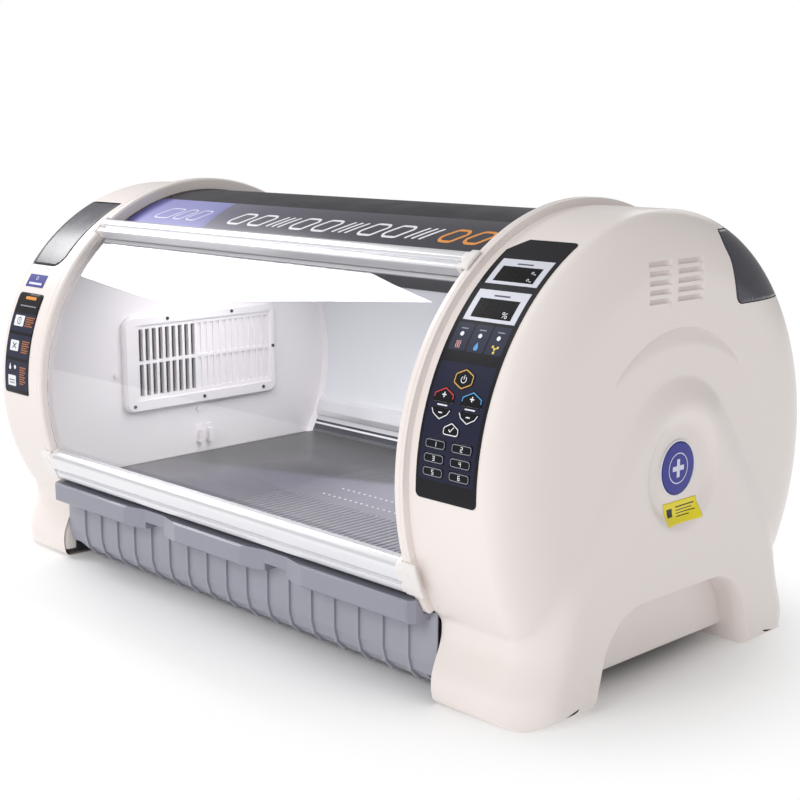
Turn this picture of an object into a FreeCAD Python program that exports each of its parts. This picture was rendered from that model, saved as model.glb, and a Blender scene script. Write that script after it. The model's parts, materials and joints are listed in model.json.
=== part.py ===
# Veterinary incubator: a clear-fronted chamber lying between two moulded end caps.
# Millimetres. X runs along the chamber, the front is -Y, Z is up.
# The origin is on the floor, under the middle of the chamber.
import FreeCAD, Part
import math
import os

Vec = FreeCAD.Vector

# Well past every piece, for blocks that only trim
far = 1000.0

# Chamber and end caps
axis_height = 311.0
half_gap = 450.0
cap_depth = 190.0
cap_wall = 4.0
corner_axial = 44.0
corner_radial = 95.0
corner_run_count = 4
inner_run_count = 1
flange_radius = 366.0
flange_rise = 11.0
flange_width = 18.0
flange_depth = 20.0
flange_bevel = 3.5
film_seat = 0.5

# Feet
foot_inset = 24.0
foot_top = 130.0
foot_neck_tuck = 7.4
foot_neck_height = 104.0
foot_swell = 21.0
foot_bulge_height = 36.0
foot_side_round = 30.0
foot_low_round = 12.0
foot_plan_round = 70.0
foot_inner_round = 12.0
foot_run_count = 2
sole_round = 22.0
throat_depth = 40.0
pad_proud = 2.0
pad_radius = 18.0
pad_seat = 2.0
pad_shift = 4.0
pad_side_count = 8

# Arch between the feet
arch_half_width = 180.0
arch_top_half = 146.0
arch_round = 84.0
arch_height = 127.0
arch_recess = 35.0
skirt_gap = 30.0
arch_sink = 5.0

# Moulded relief of the end faces
frame_rise = 12.0
ridge_bevel = 10.0
ridge_root = 60.0
leg_overlap = 20.0
ridge_radius = 128.0
ridge_height = 305.0
leg_angle = 35.0
dish_radius = 86.0
dish_floor_radius = 81.0
dish_depth = 10.0
badge_radius = 39.0
badge_thickness = 2.0
sticker_width = 72.0
sticker_height = 30.0
sticker_drop = 57.0
sticker_thickness = 0.8
crescent_radius = 196.0
crescent_width = 24.0
crescent_start = 38.0
crescent_end = 142.0
crescent_depth = 5.0
louvre_pitch = 12.4
louvre_slot = 6.4
louvre_count = 5
louvre_drop = 118.0
louvre_columns = [(-75.0, 49.0), (-12.0, 60.0)]
louvre_slope = 7.0

# Port cover, hinged along its top edge; its upper inner edge is an arc about the hinge, so that it swings clear
port_drop = 32.0
port_swing = 49.0
# Corners of its inner edge: distance from the middle, drop below its top, rounding
port_waist = (118.0, 44.0, 60.0)
port_foot = (131.0, 108.0, 16.0)
port_top_round = 1.0
port_inboard = 55.0
port_corner = 27.0
port_gap = 1.2
port_low_angle = 36.0
port_high_angle = 68.0
hinge_barrel_radius = 3.2
hinge_pin_radius = 1.5
hinge_running = 0.05
hinge_barrel_length = 66.0
hinge_lug_length = 7.0
hinge_start = 12.0
hinge_depth = 1.6
hinge_edge = 0.5
lug_root = 8.0
lug_end_gap = 0.5
lug_room = 2.0
barrel_room = 0.8
pin_end_gap = 1.0

# Control panel on the right cap
panel_inboard = 32.0
panel_width = 108.0
panel_low_angle = -1.0
panel_high_angle = 63.0
panel_round = 8.0
panel_cut = 22.0
panel_cut_slope = 1.2
panel_thickness = 1.0
key_rise = 0.8
key_gap = 0.4
key_length = 7.0
key_travel = 0.6
key_backing = 4.0
key_rim = 4.0
key_frame = 8.0
key_window_margin = 2.5
carrier_inset = 2.0
carrier_gap = 0.2
# Half the angle about a key or a display within which its own face is cut from the curved shell
view_span = 9.0
lens_radius = 3.2
lens_rise = 0.9
lens_side_count = 12
bezel_side = 10.0
bezel_foot = 5.0
bezel_head = 14.0
bezel_rise = 0.6
pane_rise = 0.2

# Each key: its name, x from the panel's inboard edge, angle, and half sizes along X and round the shell
keys = [
    ("key_power", 55.0, 25.2, 16.5, 14.3),
    ("key_warmer", 29.5, 21.35, 17.5, 10.2),
    ("key_cooler", 29.5, 17.2, 17.5, 7.8),
    ("key_wetter", 78.5, 21.35, 17.5, 10.2),
    ("key_drier", 78.5, 17.2, 17.5, 7.8),
    ("key_confirm", 54.0, 14.5, 14.0, 9.0),
    ("key_mode_a", 30.5, 10.85, 18.0, 6.4),
    ("key_mode_b", 77.5, 10.85, 18.0, 6.4),
    ("key_mode_c", 30.5, 7.85, 18.0, 6.4),
    ("key_mode_d", 77.5, 7.85, 18.0, 6.4),
    ("key_mode_e", 30.5, 4.95, 18.0, 6.4),
    ("key_mode_f", 77.5, 4.95, 18.0, 6.4),
]
key_bevel = 2.0

# Each display: x from the inboard edge, angle, and half sizes
displays = [(56.0, 51.8, 45.0, 23.7), (56.0, 42.2, 45.0, 24.8)]

# Each indicator lens: x from the inboard edge and angle
lenses = [(22.5, 34.8), (54.5, 34.8), (86.5, 34.8)]

# Door: two extrusions joined by a curved clear sheet
sheet_drop = 16.0
sheet_thickness = 3.0
door_low_angle = -24.5
door_high_angle = 55.0
low_rail_top_angle = -16.4
high_rail_low_angle = 49.5
rail_thickness = 23.0
# A rail's section above its base: depth below the bead's top, share of its angle, rounding
rail_shape = [
    (2.0, 0.0, 2.5),
    (2.0, 0.26, 1.0),
    (5.0, 0.30, 1.0),
    (5.0, 0.36, 1.0),
    (0.0, 0.42, 5.0),
    (0.0, 0.84, 9.0),
    (11.0, 1.0, 4.0),
]
plug_length = 10.0
plug_reach_low = 29.0
plug_reach_high = 12.0
plug_run_count = 3
running_gap = 0.4
sheet_end_gap = 2.0
door_travel = 75.0
door_stop_gap = 0.6

# Covers and chamber liner
cover_drop = 5.0
cover_thickness = 3.0
cover_front_angle = 48.4
cover_end_gap = 6.0
rib_thickness = 3.0
rib_count = 2
liner_drop = 28.0
liner_thickness = 3.0
liner_low_angle = 207.5
wall_step = 18.0
wall_thickness = 3.0
wall_rim = 4.0
rear_cover_low = 14.0
rear_cover_gap = 4.0
stop_lip_drop = 4.0

# Base frame, sill and floor
floor_height = 145.0
floor_thickness = 4.0
floor_gap = 3.0
floor_front_gap = 5.0
floor_rear_gap = 4.0
floor_corner = 8.0
floor_margin = 18.0
frame_sheet = 3.0
frame_side_gap = 1.0
frame_set_back = 9.0
frame_front_gap = 4.0
frame_rear_gap = 2.5
frame_low = 8.0
frame_shelf = 16.0
cross_member_width = 24.0
cross_member_depth = 6.0
sill_lip_angle = 25.2
sill_lip_span = 0.6
sill_proud = 0.5
sill_end_gap = 1.0
seal_gap_angle = 0.08
slot_pitch = 12.7
slot_width = 6.0
slot_first = -150.0
slot_front = -282.0
slot_rear = -46.0

# Drawer
drawer_bottom = 13.0
drawer_top = 137.0
drawer_wall = 3.0
drawer_proud = 7.0
drawer_rear_gap = 14.0
drawer_flange_gap = 3.0
drawer_rear_round = 20.0
drawer_run_count = 3
wing_depth = 6.0
wing_gap = 1.0
rim_clearance = 2.0
drawer_round = 40.0
front_side_gap = 2.0
rib_pitch = 52.1
front_rib_count = 17
front_rib_width = 7.0
front_rib_rise = 4.0
grip_reach = 39.0
bar_reach = 27.0
lip_half_length = 460.0
lip_low = 117.0
lip_top = 150.0
lip_wall = 5.0
lip_bar_low = 129.0
lip_round = 3.0
grip_end = 8.0
pocket_side = 2.0
pocket_top = 12.0
grip_half = 85.0
grip_taper = 47.0
outer_grip_start = 232.0
runner_gap = 0.5
runner_thickness = 3.0
runner_side_gap = 2.0

# Left wall furniture
vent_low = 244.0
vent_high = 426.0
vent_front = -172.0
vent_rear = 184.0
vent_round = 20.0
vent_rise = 12.0
grille_low = 270.0
grille_high = 405.0
grille_front = -142.0
grille_rear = 168.0
grille_slot_count = 21
grille_open_count = 9
grille_bar = 5.6
grille_mid_bar = 6.0
grille_recess = 4.0
grille_sink = 3.0
grille_margin = 4.0
vent_bevel = 4.0
screw_radius = 3.4
screw_rise = 1.6
screw_side_count = 8
screw_places = [(-76.0, 417.0), (75.0, 417.0), (176.0, 338.0), (5.0, 257.0), (-154.0, 257.0), (150.0, 257.0)]
hook_wire = 4.0
hook_height = 178.0
hook_plate = (2.0, 7.0, 12.0, 22.0)
hook_reach = 14.0
hook_tip = (6.0, 14.0)
hook_places = [-3.0, 19.0]
bump_radius = 5.0
bump_rise = 4.0
bump_places = [(-186.0, 320.0), (-3.0, 232.0)]

# Fan and heater behind the grille
fan_radius = 56.0
fan_place_y = -66.0
fan_place_z = 337.0
fan_depth = 25.0
fan_border = 9.0
fan_tip_gap = 3.0
fan_duct_side_count = 16
fan_hub_radius = 16.0
fan_hub_side_count = 12
fan_plate = 4.0
fan_spoke = 6.0
fan_blade_count = 7
fan_blade = 2.0
fan_blade_pitch = 30.0
fan_play = 5.0
fan_blade_end_gap = 4.0
fan_shaft_radius = 3.0
fan_clearance = 0.05
heater_gap = 14.0
heater_width = 110.0
heater_height = 100.0
heater_plate = 6.0
heater_depth = 24.0
heater_fin = 2.0
heater_fin_count = 9

# Humidifier tank
tank_front = 250.0
tank_width = 140.0
tank_depth = 100.0
tank_height = 70.0
tank_gap = 14.0
tank_wall = 3.0
tank_round = 12.0
tank_neck = 24.0
tank_neck_height = 8.0
tank_neck_side_count = 12

# Rear profiles
top_profile_low = 471.0
top_profile_high = 521.0
bottom_profile_low = 180.0
bottom_profile_high = 219.0
profile_rise = 9.0
profile_bulge = 6.0

# Mains inlet and switch
inlet_rim = 5.0
inlet_plate = 2.0
inlet_body = 18.0
inlet_well = 14.0
inlet_bevel = 3.0
inlet_pin = (1.0, 2.0, 2.0)
inlet_pins = [(-7.0, -1.0), (0.0, 4.0), (7.0, -1.0)]
inlet_width = 32.0
inlet_height = 26.0
inlet_place = 360.0
switch_width = 22.0
switch_height = 30.0
inlet_level = 74.0
switch_offset = 52.0
switch_wall = 1.5
switch_rim = 4.0
hole_depth = 20.0
pivot_radius = 1.5
pivot_depth = 5.0
pivot_running = 0.05
rocker_side_gap = 0.5
rocker_end_gap = 1.6
# The rocker's section: depth from the back plane, share of its half height
rocker_shape = [(-9.0, -0.5), (-9.0, 0.5), (0.5, 1.0), (3.0, 1.0), (1.4, 0.0), (3.0, -1.0), (0.5, -1.0)]

# Labels: inboard edge, width, lowest and highest angle
guide_strip = (73.0, 70.0, -9.4, 28.3)
port_label = (77.0, 58.0, 30.0, 34.0)
label_thickness = 0.8
label_lift = 0.1
badge_drop = 2.0
sticker_round = 1.5

# Sizes that follow
cap_radius = flange_radius - flange_rise
sheet_radius = flange_radius - sheet_drop
cover_radius = sheet_radius - cover_drop
liner_radius = cover_radius - liner_drop
drum_foot = math.sqrt(cap_radius ** 2 - (axis_height - foot_top) ** 2)
foot_neck = drum_foot - foot_neck_tuck
foot_bulge = foot_neck + foot_swell
sheet_foot = math.sqrt(sheet_radius ** 2 - (axis_height - floor_height) ** 2)
frame_front = sheet_foot - frame_set_back
liner_foot = math.sqrt((liner_radius + liner_thickness) ** 2 - (axis_height - floor_height) ** 2)
frame_rear = liner_foot + frame_rear_gap
floor_front = frame_front - floor_front_gap
floor_rear = frame_rear - floor_rear_gap
member_front = frame_front - frame_front_gap
back_plane = frame_rear + rear_cover_gap
drawer_front = frame_front + drawer_proud
drawer_rear = frame_rear - drawer_rear_gap
lip_front = drawer_front + grip_reach
lip_bar_front = drawer_front + bar_reach
port_top = axis_height + cap_radius - port_drop
louvre_low = axis_height + cap_radius - louvre_drop
cap_end = half_gap + cap_depth
foot_inner = half_gap + foot_inset
frame_face = cap_end + frame_rise
ring_inner = flange_radius - flange_depth
wall_face = half_gap + flange_width + wall_step
liner_end = half_gap + flange_width
frame_half = foot_inner - frame_side_gap
floor_half = frame_half - frame_sheet - floor_gap
sheet_outer = sheet_radius + sheet_thickness
drawer_side = half_gap - drawer_flange_gap
rim_top = foot_top - rim_clearance
rail_outer = sheet_outer + rail_thickness
stop_angle = door_high_angle + door_travel + door_stop_gap

pieces = {}


# Points, outlines and basic solids

def polar(radius, degrees, x=0.0):
    # A point at a radius from the chamber axis; 0 degrees is the front, 90 the top.
    angle = math.radians(degrees)
    return Vec(x, -radius * math.cos(angle), axis_height + radius * math.sin(angle))


def unit(u, v):
    length = math.hypot(u, v)
    return u / length, v / length


def round_off(corners, index):
    # Where the rounding at a corner starts, its centre and where it ends; None at a sharp corner.
    u, v, radius = corners[index]
    before = corners[index - 1]
    after = corners[(index + 1) % len(corners)]
    back = unit(before[0] - u, before[1] - v)
    ahead = unit(after[0] - u, after[1] - v)
    cosine = back[0] * ahead[0] + back[1] * ahead[1]
    half = math.acos(max(-1.0, min(1.0, cosine))) / 2.0
    if radius <= 0.0 or half > math.pi / 2.0 - 0.01:
        return None
    reach = radius / math.tan(half)
    start = (u + back[0] * reach, v + back[1] * reach)
    end = (u + ahead[0] * reach, v + ahead[1] * reach)
    middle = unit(back[0] + ahead[0], back[1] + ahead[1])
    depth = radius / math.sin(half)
    centre = (u + middle[0] * depth, v + middle[1] * depth)
    return start, centre, end


def outline(corners, place):
    # A closed wire through (u, v, rounding) corners, laid in space by place(u, v).
    runs = []
    for index, (u, v, radius) in enumerate(corners):
        bend = round_off(corners, index)
        if bend is None:
            runs.append(((u, v), None, (u, v)))
            continue
        start, centre, end = bend
        away = unit(u - centre[0], v - centre[1])
        runs.append((start, (centre[0] + away[0] * radius, centre[1] + away[1] * radius), end))
    edges = []
    for index, (start, top, end) in enumerate(runs):
        if top is not None:
            edges.append(Part.Arc(place(*start), place(*top), place(*end)).toShape())
        following = runs[(index + 1) % len(runs)][0]
        if math.hypot(following[0] - end[0], following[1] - end[1]) > 0.001:
            edges.append(Part.makeLine(place(*end), place(*following)))
    return Part.Wire(edges)


def chorded(corners, count):
    # The same outline with each rounding laid out as that many straight chords.
    flat = []
    for index, (u, v, radius) in enumerate(corners):
        bend = round_off(corners, index)
        if bend is None:
            flat.append((u, v, 0.0))
            continue
        start, centre, end = bend
        first = math.atan2(start[1] - centre[1], start[0] - centre[0])
        last = math.atan2(end[1] - centre[1], end[0] - centre[0])
        sweep = (last - first + math.pi) % (2.0 * math.pi) - math.pi
        for step in range(count + 1):
            angle = first + sweep * step / count
            flat.append((centre[0] + radius * math.cos(angle), centre[1] + radius * math.sin(angle), 0.0))
    return flat


def polygon(u, v, radius, count):
    # A regular outline with its sides square to the axes.
    corners = []
    for step in range(count):
        angle = math.pi * (2 * step + 1) / count
        corners.append((u + radius * math.cos(angle), v + radius * math.sin(angle), 0.0))
    return corners


def with_rounding(points, radius=0.0):
    return [(u, v, radius) for u, v in points]


def prism_x(corners, start, end):
    # Corners are (y, z, rounding).
    wire = outline(corners, lambda u, v: Vec(start, u, v))
    return Part.Face(wire).extrude(Vec(end - start, 0, 0))


def prism_y(corners, start, end):
    # Corners are (x, z, rounding).
    wire = outline(corners, lambda u, v: Vec(u, start, v))
    return Part.Face(wire).extrude(Vec(0, end - start, 0))


def prism_z(corners, start, end):
    # Corners are (x, y, rounding).
    wire = outline(corners, lambda u, v: Vec(u, v, start))
    return Part.Face(wire).extrude(Vec(0, 0, end - start))


def rectangle(u0, v0, u1, v1, radius=0.0):
    return [(u0, v0, radius), (u1, v0, radius), (u1, v1, radius), (u0, v1, radius)]


def block(x0, x1, y0, y1, z0, z1):
    return Part.makeBox(x1 - x0, y1 - y0, z1 - z0, Vec(x0, y0, z0))


def rod_x(radius, x0, x1, y, z):
    return Part.makeCylinder(radius, x1 - x0, Vec(x0, y, z), Vec(1, 0, 0))


def sector(inner, outer, low, high, x0, x1):
    # A curved plate about the chamber axis.
    middle = (low + high) / 2.0
    edges = [
        Part.Arc(polar(outer, low, x0), polar(outer, middle, x0), polar(outer, high, x0)).toShape(),
        Part.makeLine(polar(outer, high, x0), polar(inner, high, x0)),
        Part.Arc(polar(inner, high, x0), polar(inner, middle, x0), polar(inner, low, x0)).toShape(),
        Part.makeLine(polar(inner, low, x0), polar(outer, low, x0)),
    ]
    return Part.Face(Part.Wire(edges)).extrude(Vec(x1 - x0, 0, 0))


def polar_prism(corners, x0, x1, count=0):
    # Corners are (radius, degrees, rounding) about the chamber axis; a count lays the roundings out in chords.
    flat = []
    for radius, degrees, rounding in corners:
        point = polar(radius, degrees)
        flat.append((point.y, point.z, rounding))
    return prism_x(chorded(flat, count) if count else flat, x0, x1)


def radial_prism(corners, degrees, inner, outer):
    # Corners are (x, distance round the shell, rounding); the prism runs outwards at the angle.
    angle = math.radians(degrees)
    out = Vec(0, -math.cos(angle), math.sin(angle))
    along = Vec(0, math.sin(angle), math.cos(angle))
    base = polar(inner, degrees)

    def place(u, v):
        return base + Vec(u, 0, 0) + along * v

    return Part.Face(outline(corners, place)).extrude(out * (outer - inner))


def turned(points):
    # Points are (x, radius from the chamber axis), turned once round.
    wire = outline(with_rounding(points), lambda u, v: Vec(u, 0, axis_height + v))
    return Part.Face(wire).revolve(Vec(0, 0, axis_height), Vec(1, 0, 0), 360)


def quarter(centre, start, end, runs):
    # Points along a quarter of an ellipse: centre + start cos(t) + end sin(t).
    points = []
    for index in range(runs + 1):
        t = math.pi / 2.0 * index / runs
        u = centre[0] + start[0] * math.cos(t) + end[0] * math.sin(t)
        v = centre[1] + start[1] * math.cos(t) + end[1] * math.sin(t)
        points.append((u, v))
    return points


def turned_half(shape):
    # The same moulding for the other end, turned half round the vertical.
    copy = shape.copy()
    copy.rotate(Vec(0, 0, 0), Vec(0, 0, 1), 180)
    return copy


def joined(shapes):
    result = shapes[0]
    if len(shapes) > 1:
        result = result.fuse(shapes[1:])
    return result.removeSplitter()


def grouped(shapes):
    return Part.makeCompound(shapes)


# End caps

def cap_drum(inset, count=corner_run_count):
    # The round part of a cap. Its corner is a quarter of an ellipse in short runs.
    radius = cap_radius - inset
    end = cap_end - inset
    axial = corner_axial - inset
    radial = corner_radial - inset
    start = half_gap + flange_width / 2.0
    corner = quarter((end - axial, radius - radial), (0.0, radial), (axial, 0.0), count)
    return turned([(start, 0.0), (start, radius)] + corner + [(end, 0.0)])


def foot_profile(inset, top):
    # The front outline of the feet: a neck under the drum, then an outward bulge.
    low = pad_proud + inset
    neck = foot_neck - inset
    bulge = foot_bulge - inset
    return [
        (-neck, top, 0.0),
        (-neck, foot_neck_height, foot_side_round),
        (-bulge, foot_bulge_height, foot_side_round),
        (-bulge, low, foot_low_round),
        (bulge, low, foot_low_round),
        (bulge, foot_bulge_height, foot_side_round),
        (neck, foot_neck_height, foot_side_round),
        (neck, top, 0.0),
    ]


def skirt(inset, end, top, count=0):
    # The part of a cap below the drum, down to the soles; a count lays its roundings out in chords.
    start = foot_inner + inset
    reach = foot_bulge - inset
    low = pad_proud + inset
    plan_round = foot_plan_round - inset
    profile = foot_profile(inset, top)
    plan = [
        (start, -reach, foot_inner_round),
        (end, -reach, plan_round),
        (end, reach, plan_round),
        (start, reach, foot_inner_round),
    ]
    side = [(start, low, 0.0), (end, low, sole_round), (end, top + 1.0, 0.0), (start, top + 1.0, 0.0)]
    if count:
        profile, plan, side = chorded(profile, count), chorded(plan, count), chorded(side, count)
    body = prism_x(profile, start, end)
    body = body.common(prism_z(plan, low - 1.0, top + 1.0))
    return body.common(prism_y(side, -reach - 1.0, reach + 1.0))


def arch_cut(offset):
    # The archway between the feet, and the gap under the panel behind it.
    recess = cap_end - arch_recess - offset
    width = arch_half_width + offset
    top_half = arch_top_half + offset
    height = arch_height + offset
    arch = prism_x(
        [
            (-width, -arch_sink, 0.0),
            (-top_half, height, arch_round + offset),
            (top_half, height, arch_round + offset),
            (width, -arch_sink, 0.0),
        ],
        recess,
        frame_face + arch_sink,
    )
    slope = (width - top_half) / (height + arch_sink)
    gap_top = skirt_gap + offset
    half = width - slope * (gap_top + arch_sink)
    gap = prism_x(
        [(-width, -arch_sink, 0.0), (-half, gap_top, 0.0), (half, gap_top, 0.0), (width, -arch_sink, 0.0)],
        foot_inner - arch_sink,
        recess + 1.0,
    )
    return arch.fuse(gap)


def leg_frame():
    # The raised A shape: a round head over two spreading legs, with a bevelled edge.
    angle = math.radians(leg_angle)
    touch_y = ridge_radius * math.cos(angle)
    touch_z = ridge_height + ridge_radius * math.sin(angle)
    drop = touch_z + leg_overlap
    spread = touch_y + drop * math.tan(angle)
    start = foot_inner + ridge_root
    head = Vec(start, 0, ridge_height + ridge_radius)
    left = Vec(start, -touch_y, touch_z)
    right = Vec(start, touch_y, touch_z)
    low_left = Vec(start, -spread, touch_z - drop)
    low_right = Vec(start, spread, touch_z - drop)
    edges = [
        Part.Arc(left, head, right).toShape(),
        Part.makeLine(right, low_right),
        Part.makeLine(low_right, low_left),
        Part.makeLine(low_left, left),
    ]
    body = Part.Face(Part.Wire(edges)).extrude(Vec(frame_face - start, 0, 0))
    rims = []
    for edge in body.Edges:
        box = edge.BoundBox
        if box.XMin > frame_face - 0.1 and box.ZMax > touch_z - 1.0:
            rims.append(edge)
    body = body.makeChamfer(ridge_bevel, rims)
    return body.common(skirt(0.0, frame_face, axis_height + ridge_radius + flange_radius))


def crescent():
    # The moon-shaped groove over the head of the A.
    face = cap_end
    start = math.radians(crescent_start)
    end = math.radians(crescent_end)
    middle = (start + end) / 2.0

    def spot(radius, angle):
        return Vec(face + 1.0, radius * math.cos(angle), axis_height + radius * math.sin(angle))

    first = spot(crescent_radius, start)
    last = spot(crescent_radius, end)
    outer = Part.Arc(first, spot(crescent_radius, middle), last).toShape()
    inner = Part.Arc(last, spot(crescent_radius - crescent_width, middle), first).toShape()
    moon = Part.Face(Part.Wire([outer, inner]))
    return moon.extrude(Vec(-crescent_depth - 1.0, 0, 0))


def louvre_cuts():
    # Five sloping slots in each of two columns.
    cuts = []
    inner = cap_end - cap_wall - 2.0 * louvre_slope
    for start, width in louvre_columns:
        for row in range(louvre_count):
            low = louvre_low + row * louvre_pitch
            corners = [
                (inner, low + louvre_slope, 0.0),
                (frame_face, low - louvre_slope, 0.0),
                (frame_face, low - louvre_slope + louvre_slot, 0.0),
                (inner, low + louvre_slope + louvre_slot, 0.0),
            ]
            cuts.append(prism_y(corners, start, start + width))
    return cuts


def port_corners(gap):
    # The port's outline in the end view. Its upper inner edge is an arc about the hinge line.
    hinge_y, hinge_z = hinge_line()
    waist_y, waist_drop, waist_round = port_waist
    foot_y, foot_drop, foot_round = port_foot
    edge_y = hinge_y - port_swing
    waist_z = port_top - waist_drop
    # The tangent from the waist to the arc meets the straight upper edge at the arc's own corner.
    reach = math.hypot(waist_y - hinge_y, waist_z - hinge_z)
    towards = math.atan2(hinge_z - waist_z, hinge_y - waist_y)
    tangent = towards + math.asin(port_swing / reach)
    corner_z = waist_z + (waist_y - edge_y) * math.tan(math.pi - tangent)
    rim = cap_radius + cap_wall
    return [
        (edge_y + gap, port_top - gap, port_top_round),
        (edge_y + gap, corner_z, port_swing),
        (waist_y + gap, waist_z, waist_round),
        (foot_y + gap, port_top - foot_drop + gap, foot_round),
        (rim, port_top - foot_drop + gap, 0.0),
        (rim, port_top - gap, 0.0),
    ]


def port_block(gap):
    # The space of the port cover, seen from the end and then from the shell's outside.
    start = half_gap + port_inboard + gap
    end = cap_end + 1.0
    body = prism_x(port_corners(gap), start, end)
    middle = 180.0 - (port_low_angle + port_high_angle) / 2.0
    low = cap_radius * math.radians(port_high_angle - port_low_angle) / 2.0
    corners = [(start, low - gap, port_corner), (start, -far, 0.0), (end, -far, 0.0), (end, low - gap, 0.0)]
    return body.common(radial_prism(corners, middle, cap_radius / 3.0, cap_radius + foot_plan_round))


def hinge_line():
    # Where the port cover's hinge runs: near the shell's surface at the cover's top edge.
    radius = cap_radius - hinge_depth
    height = port_top - hinge_barrel_radius - hinge_edge
    return math.sqrt(radius ** 2 - (height - axis_height) ** 2), height


def hinge_spans():
    start = half_gap + port_inboard + hinge_start
    return start, start + hinge_barrel_length


def port_cover_right():
    shell = cap_drum(0.0).cut(cap_drum(cap_wall, inner_run_count))
    cover = shell.common(port_block(port_gap))
    y, z = hinge_line()
    start, end = hinge_spans()
    room = hinge_lug_length + lug_end_gap
    for x0, x1 in ((start - room, start + lug_end_gap), (end - lug_end_gap, end + room)):
        cover = cover.cut(rod_x(hinge_barrel_radius + lug_room, x0, x1, y, z))
        cover = cover.cut(block(x0, x1, 0.0, y, z - hinge_barrel_radius - lug_room, far))
    barrel = rod_x(hinge_barrel_radius, start + lug_end_gap, end - lug_end_gap, y, z)
    bore = rod_x(hinge_pin_radius + hinge_running, start, end, y, z)
    return cover.fuse(barrel).cut(bore).removeSplitter()


def port_pin_right():
    y, z = hinge_line()
    start, end = hinge_spans()
    reach = hinge_lug_length - pin_end_gap
    return rod_x(hinge_pin_radius, start - reach, end + reach, y, z)


def port_lugs():
    # Square lugs that reach down from the cap's edge and hold the pin's ends.
    y, z = hinge_line()
    start, end = hinge_spans()
    half = hinge_barrel_radius
    lugs = []
    for x0, x1 in ((start - hinge_lug_length, start), (end, end + hinge_lug_length)):
        lug = block(x0, x1, y - half - lug_root, y + half, z - half, port_top + cap_wall)
        lugs.append(lug.common(cap_drum(hinge_edge)))
    return lugs


def pad_places():
    middle_x = (foot_inner + cap_end) / 2.0 + pad_shift
    middle_y = (arch_half_width + foot_bulge) / 2.0 + pad_shift
    return [(middle_x, -middle_y), (middle_x, middle_y)]


def foot_pad(x, y):
    return prism_z(polygon(x, y, pad_radius, pad_side_count), 0.0, pad_proud + pad_seat)


def flange_ring():
    return turned(
        [
            (half_gap + flange_width, ring_inner),
            (half_gap, ring_inner),
            (half_gap, flange_radius - flange_bevel),
            (half_gap + flange_bevel, flange_radius),
            (half_gap + flange_width, flange_radius),
        ]
    )


def cap_hollow():
    # The drum and the feet are hollow, down to the arch; the raised frame is backed by the end face.
    inside = cap_drum(cap_wall, inner_run_count)
    neck = foot_neck - cap_wall
    start = foot_inner + cap_wall
    upper = inside.common(block(start, frame_face, -far, far, foot_top + cap_wall, far))
    throat = inside.common(block(start, frame_face, -neck, neck, foot_top - throat_depth, far))
    lower = skirt(cap_wall, cap_end - cap_wall, foot_top, foot_run_count)
    return upper.fuse([throat, lower]).cut(arch_cut(cap_wall))


def plain_cap():
    # The moulding that both ends share, made for the right end.
    past_ring = block(half_gap + flange_width, frame_face, -far, far, 0.0, far)
    drum = cap_drum(0.0).common(past_ring).cut(cap_drum(cap_wall, inner_run_count)).fuse(flange_ring())
    drum = drum.common(block(0.0, far, -far, far, foot_top, far))
    body = drum.fuse(skirt(0.0, cap_end, foot_top + leg_overlap)).fuse(leg_frame())
    neck = foot_neck - cap_wall
    wall_seat = block(foot_inner - 1.0, foot_inner + cap_wall, -neck, neck, floor_height, foot_top + leg_overlap + 1.0)
    cuts = [cap_hollow(), dish_cutter(), arch_cut(0.0), crescent(), wall_seat]
    cuts += louvre_cuts()
    cuts.append(port_block(0.0))
    y, z = hinge_line()
    start, end = hinge_spans()
    cuts.append(rod_x(hinge_barrel_radius + barrel_room, start, end, y, z))
    for cut in cuts:
        body = body.cut(cut)
    body = body.fuse(port_lugs()).cut(port_pin_right())
    for x, y in pad_places():
        body = body.cut(foot_pad(x, y))
    return body


def dish_cutter():
    # The round dish in the head of the A.
    base = frame_face - dish_depth
    slope = (dish_radius - dish_floor_radius) / dish_depth
    past = 2.0
    return Part.makeCone(
        dish_floor_radius,
        dish_radius + slope * past,
        dish_depth + past,
        Vec(base, 0, ridge_height),
        Vec(1, 0, 0),
    )


# Control panel

def panel_ends():
    start = half_gap + panel_inboard
    return start, start + panel_width


def key_outline(key, grow):
    name, across, angle, half_x, half_s = key
    centre = half_gap + panel_inboard + across
    half_x = half_x + grow
    half_s = half_s + grow
    left, right = centre - half_x, centre + half_x
    if name == "key_power":
        # Six sides, with a point above and below
        side = half_s * 0.45
        points = [(centre, half_s), (right, side), (right, -side), (centre, -half_s), (left, -side), (left, side)]
    elif name in ("key_warmer", "key_wetter", "key_confirm"):
        # A house shape, pointing up
        points = [(centre, half_s), (right, half_s * 0.1), (right, -half_s), (left, -half_s), (left, half_s * 0.1)]
    elif name in ("key_cooler", "key_drier"):
        # A shield shape, pointing down
        side = half_x * 0.75
        points = [(left, half_s), (right, half_s), (centre + side, 0.0), (centre, -half_s), (centre - side, 0.0)]
    else:
        return chorded(rectangle(left, -half_s, right, half_s, key_bevel), 1)
    return with_rounding(points)


def key_solid(key):
    inner = cap_radius + panel_thickness - key_length
    outer = cap_radius + panel_thickness + key_rise
    prism = radial_prism(key_outline(key, 0.0), key[2], inner - key_length, outer + key_length)
    return prism.common(sector(inner, outer, key[2] - view_span, key[2] + view_span, half_gap, cap_end))


def key_span(margin):
    # The lowest and highest angle that the keys take up.
    angles = [key[2] for key in keys]
    return min(angles) - margin, max(angles) + margin


def key_window():
    # One opening through the cap's wall behind all the keys.
    start, end = panel_ends()
    low, high = key_span(key_window_margin)
    return sector(cap_radius - 3.0 * cap_wall, cap_radius + cap_wall, low, high, start + key_frame, end - key_frame)


def key_hole(key):
    return radial_prism(key_outline(key, key_gap), key[2], cap_radius - key_length, cap_radius + key_length)


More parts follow.
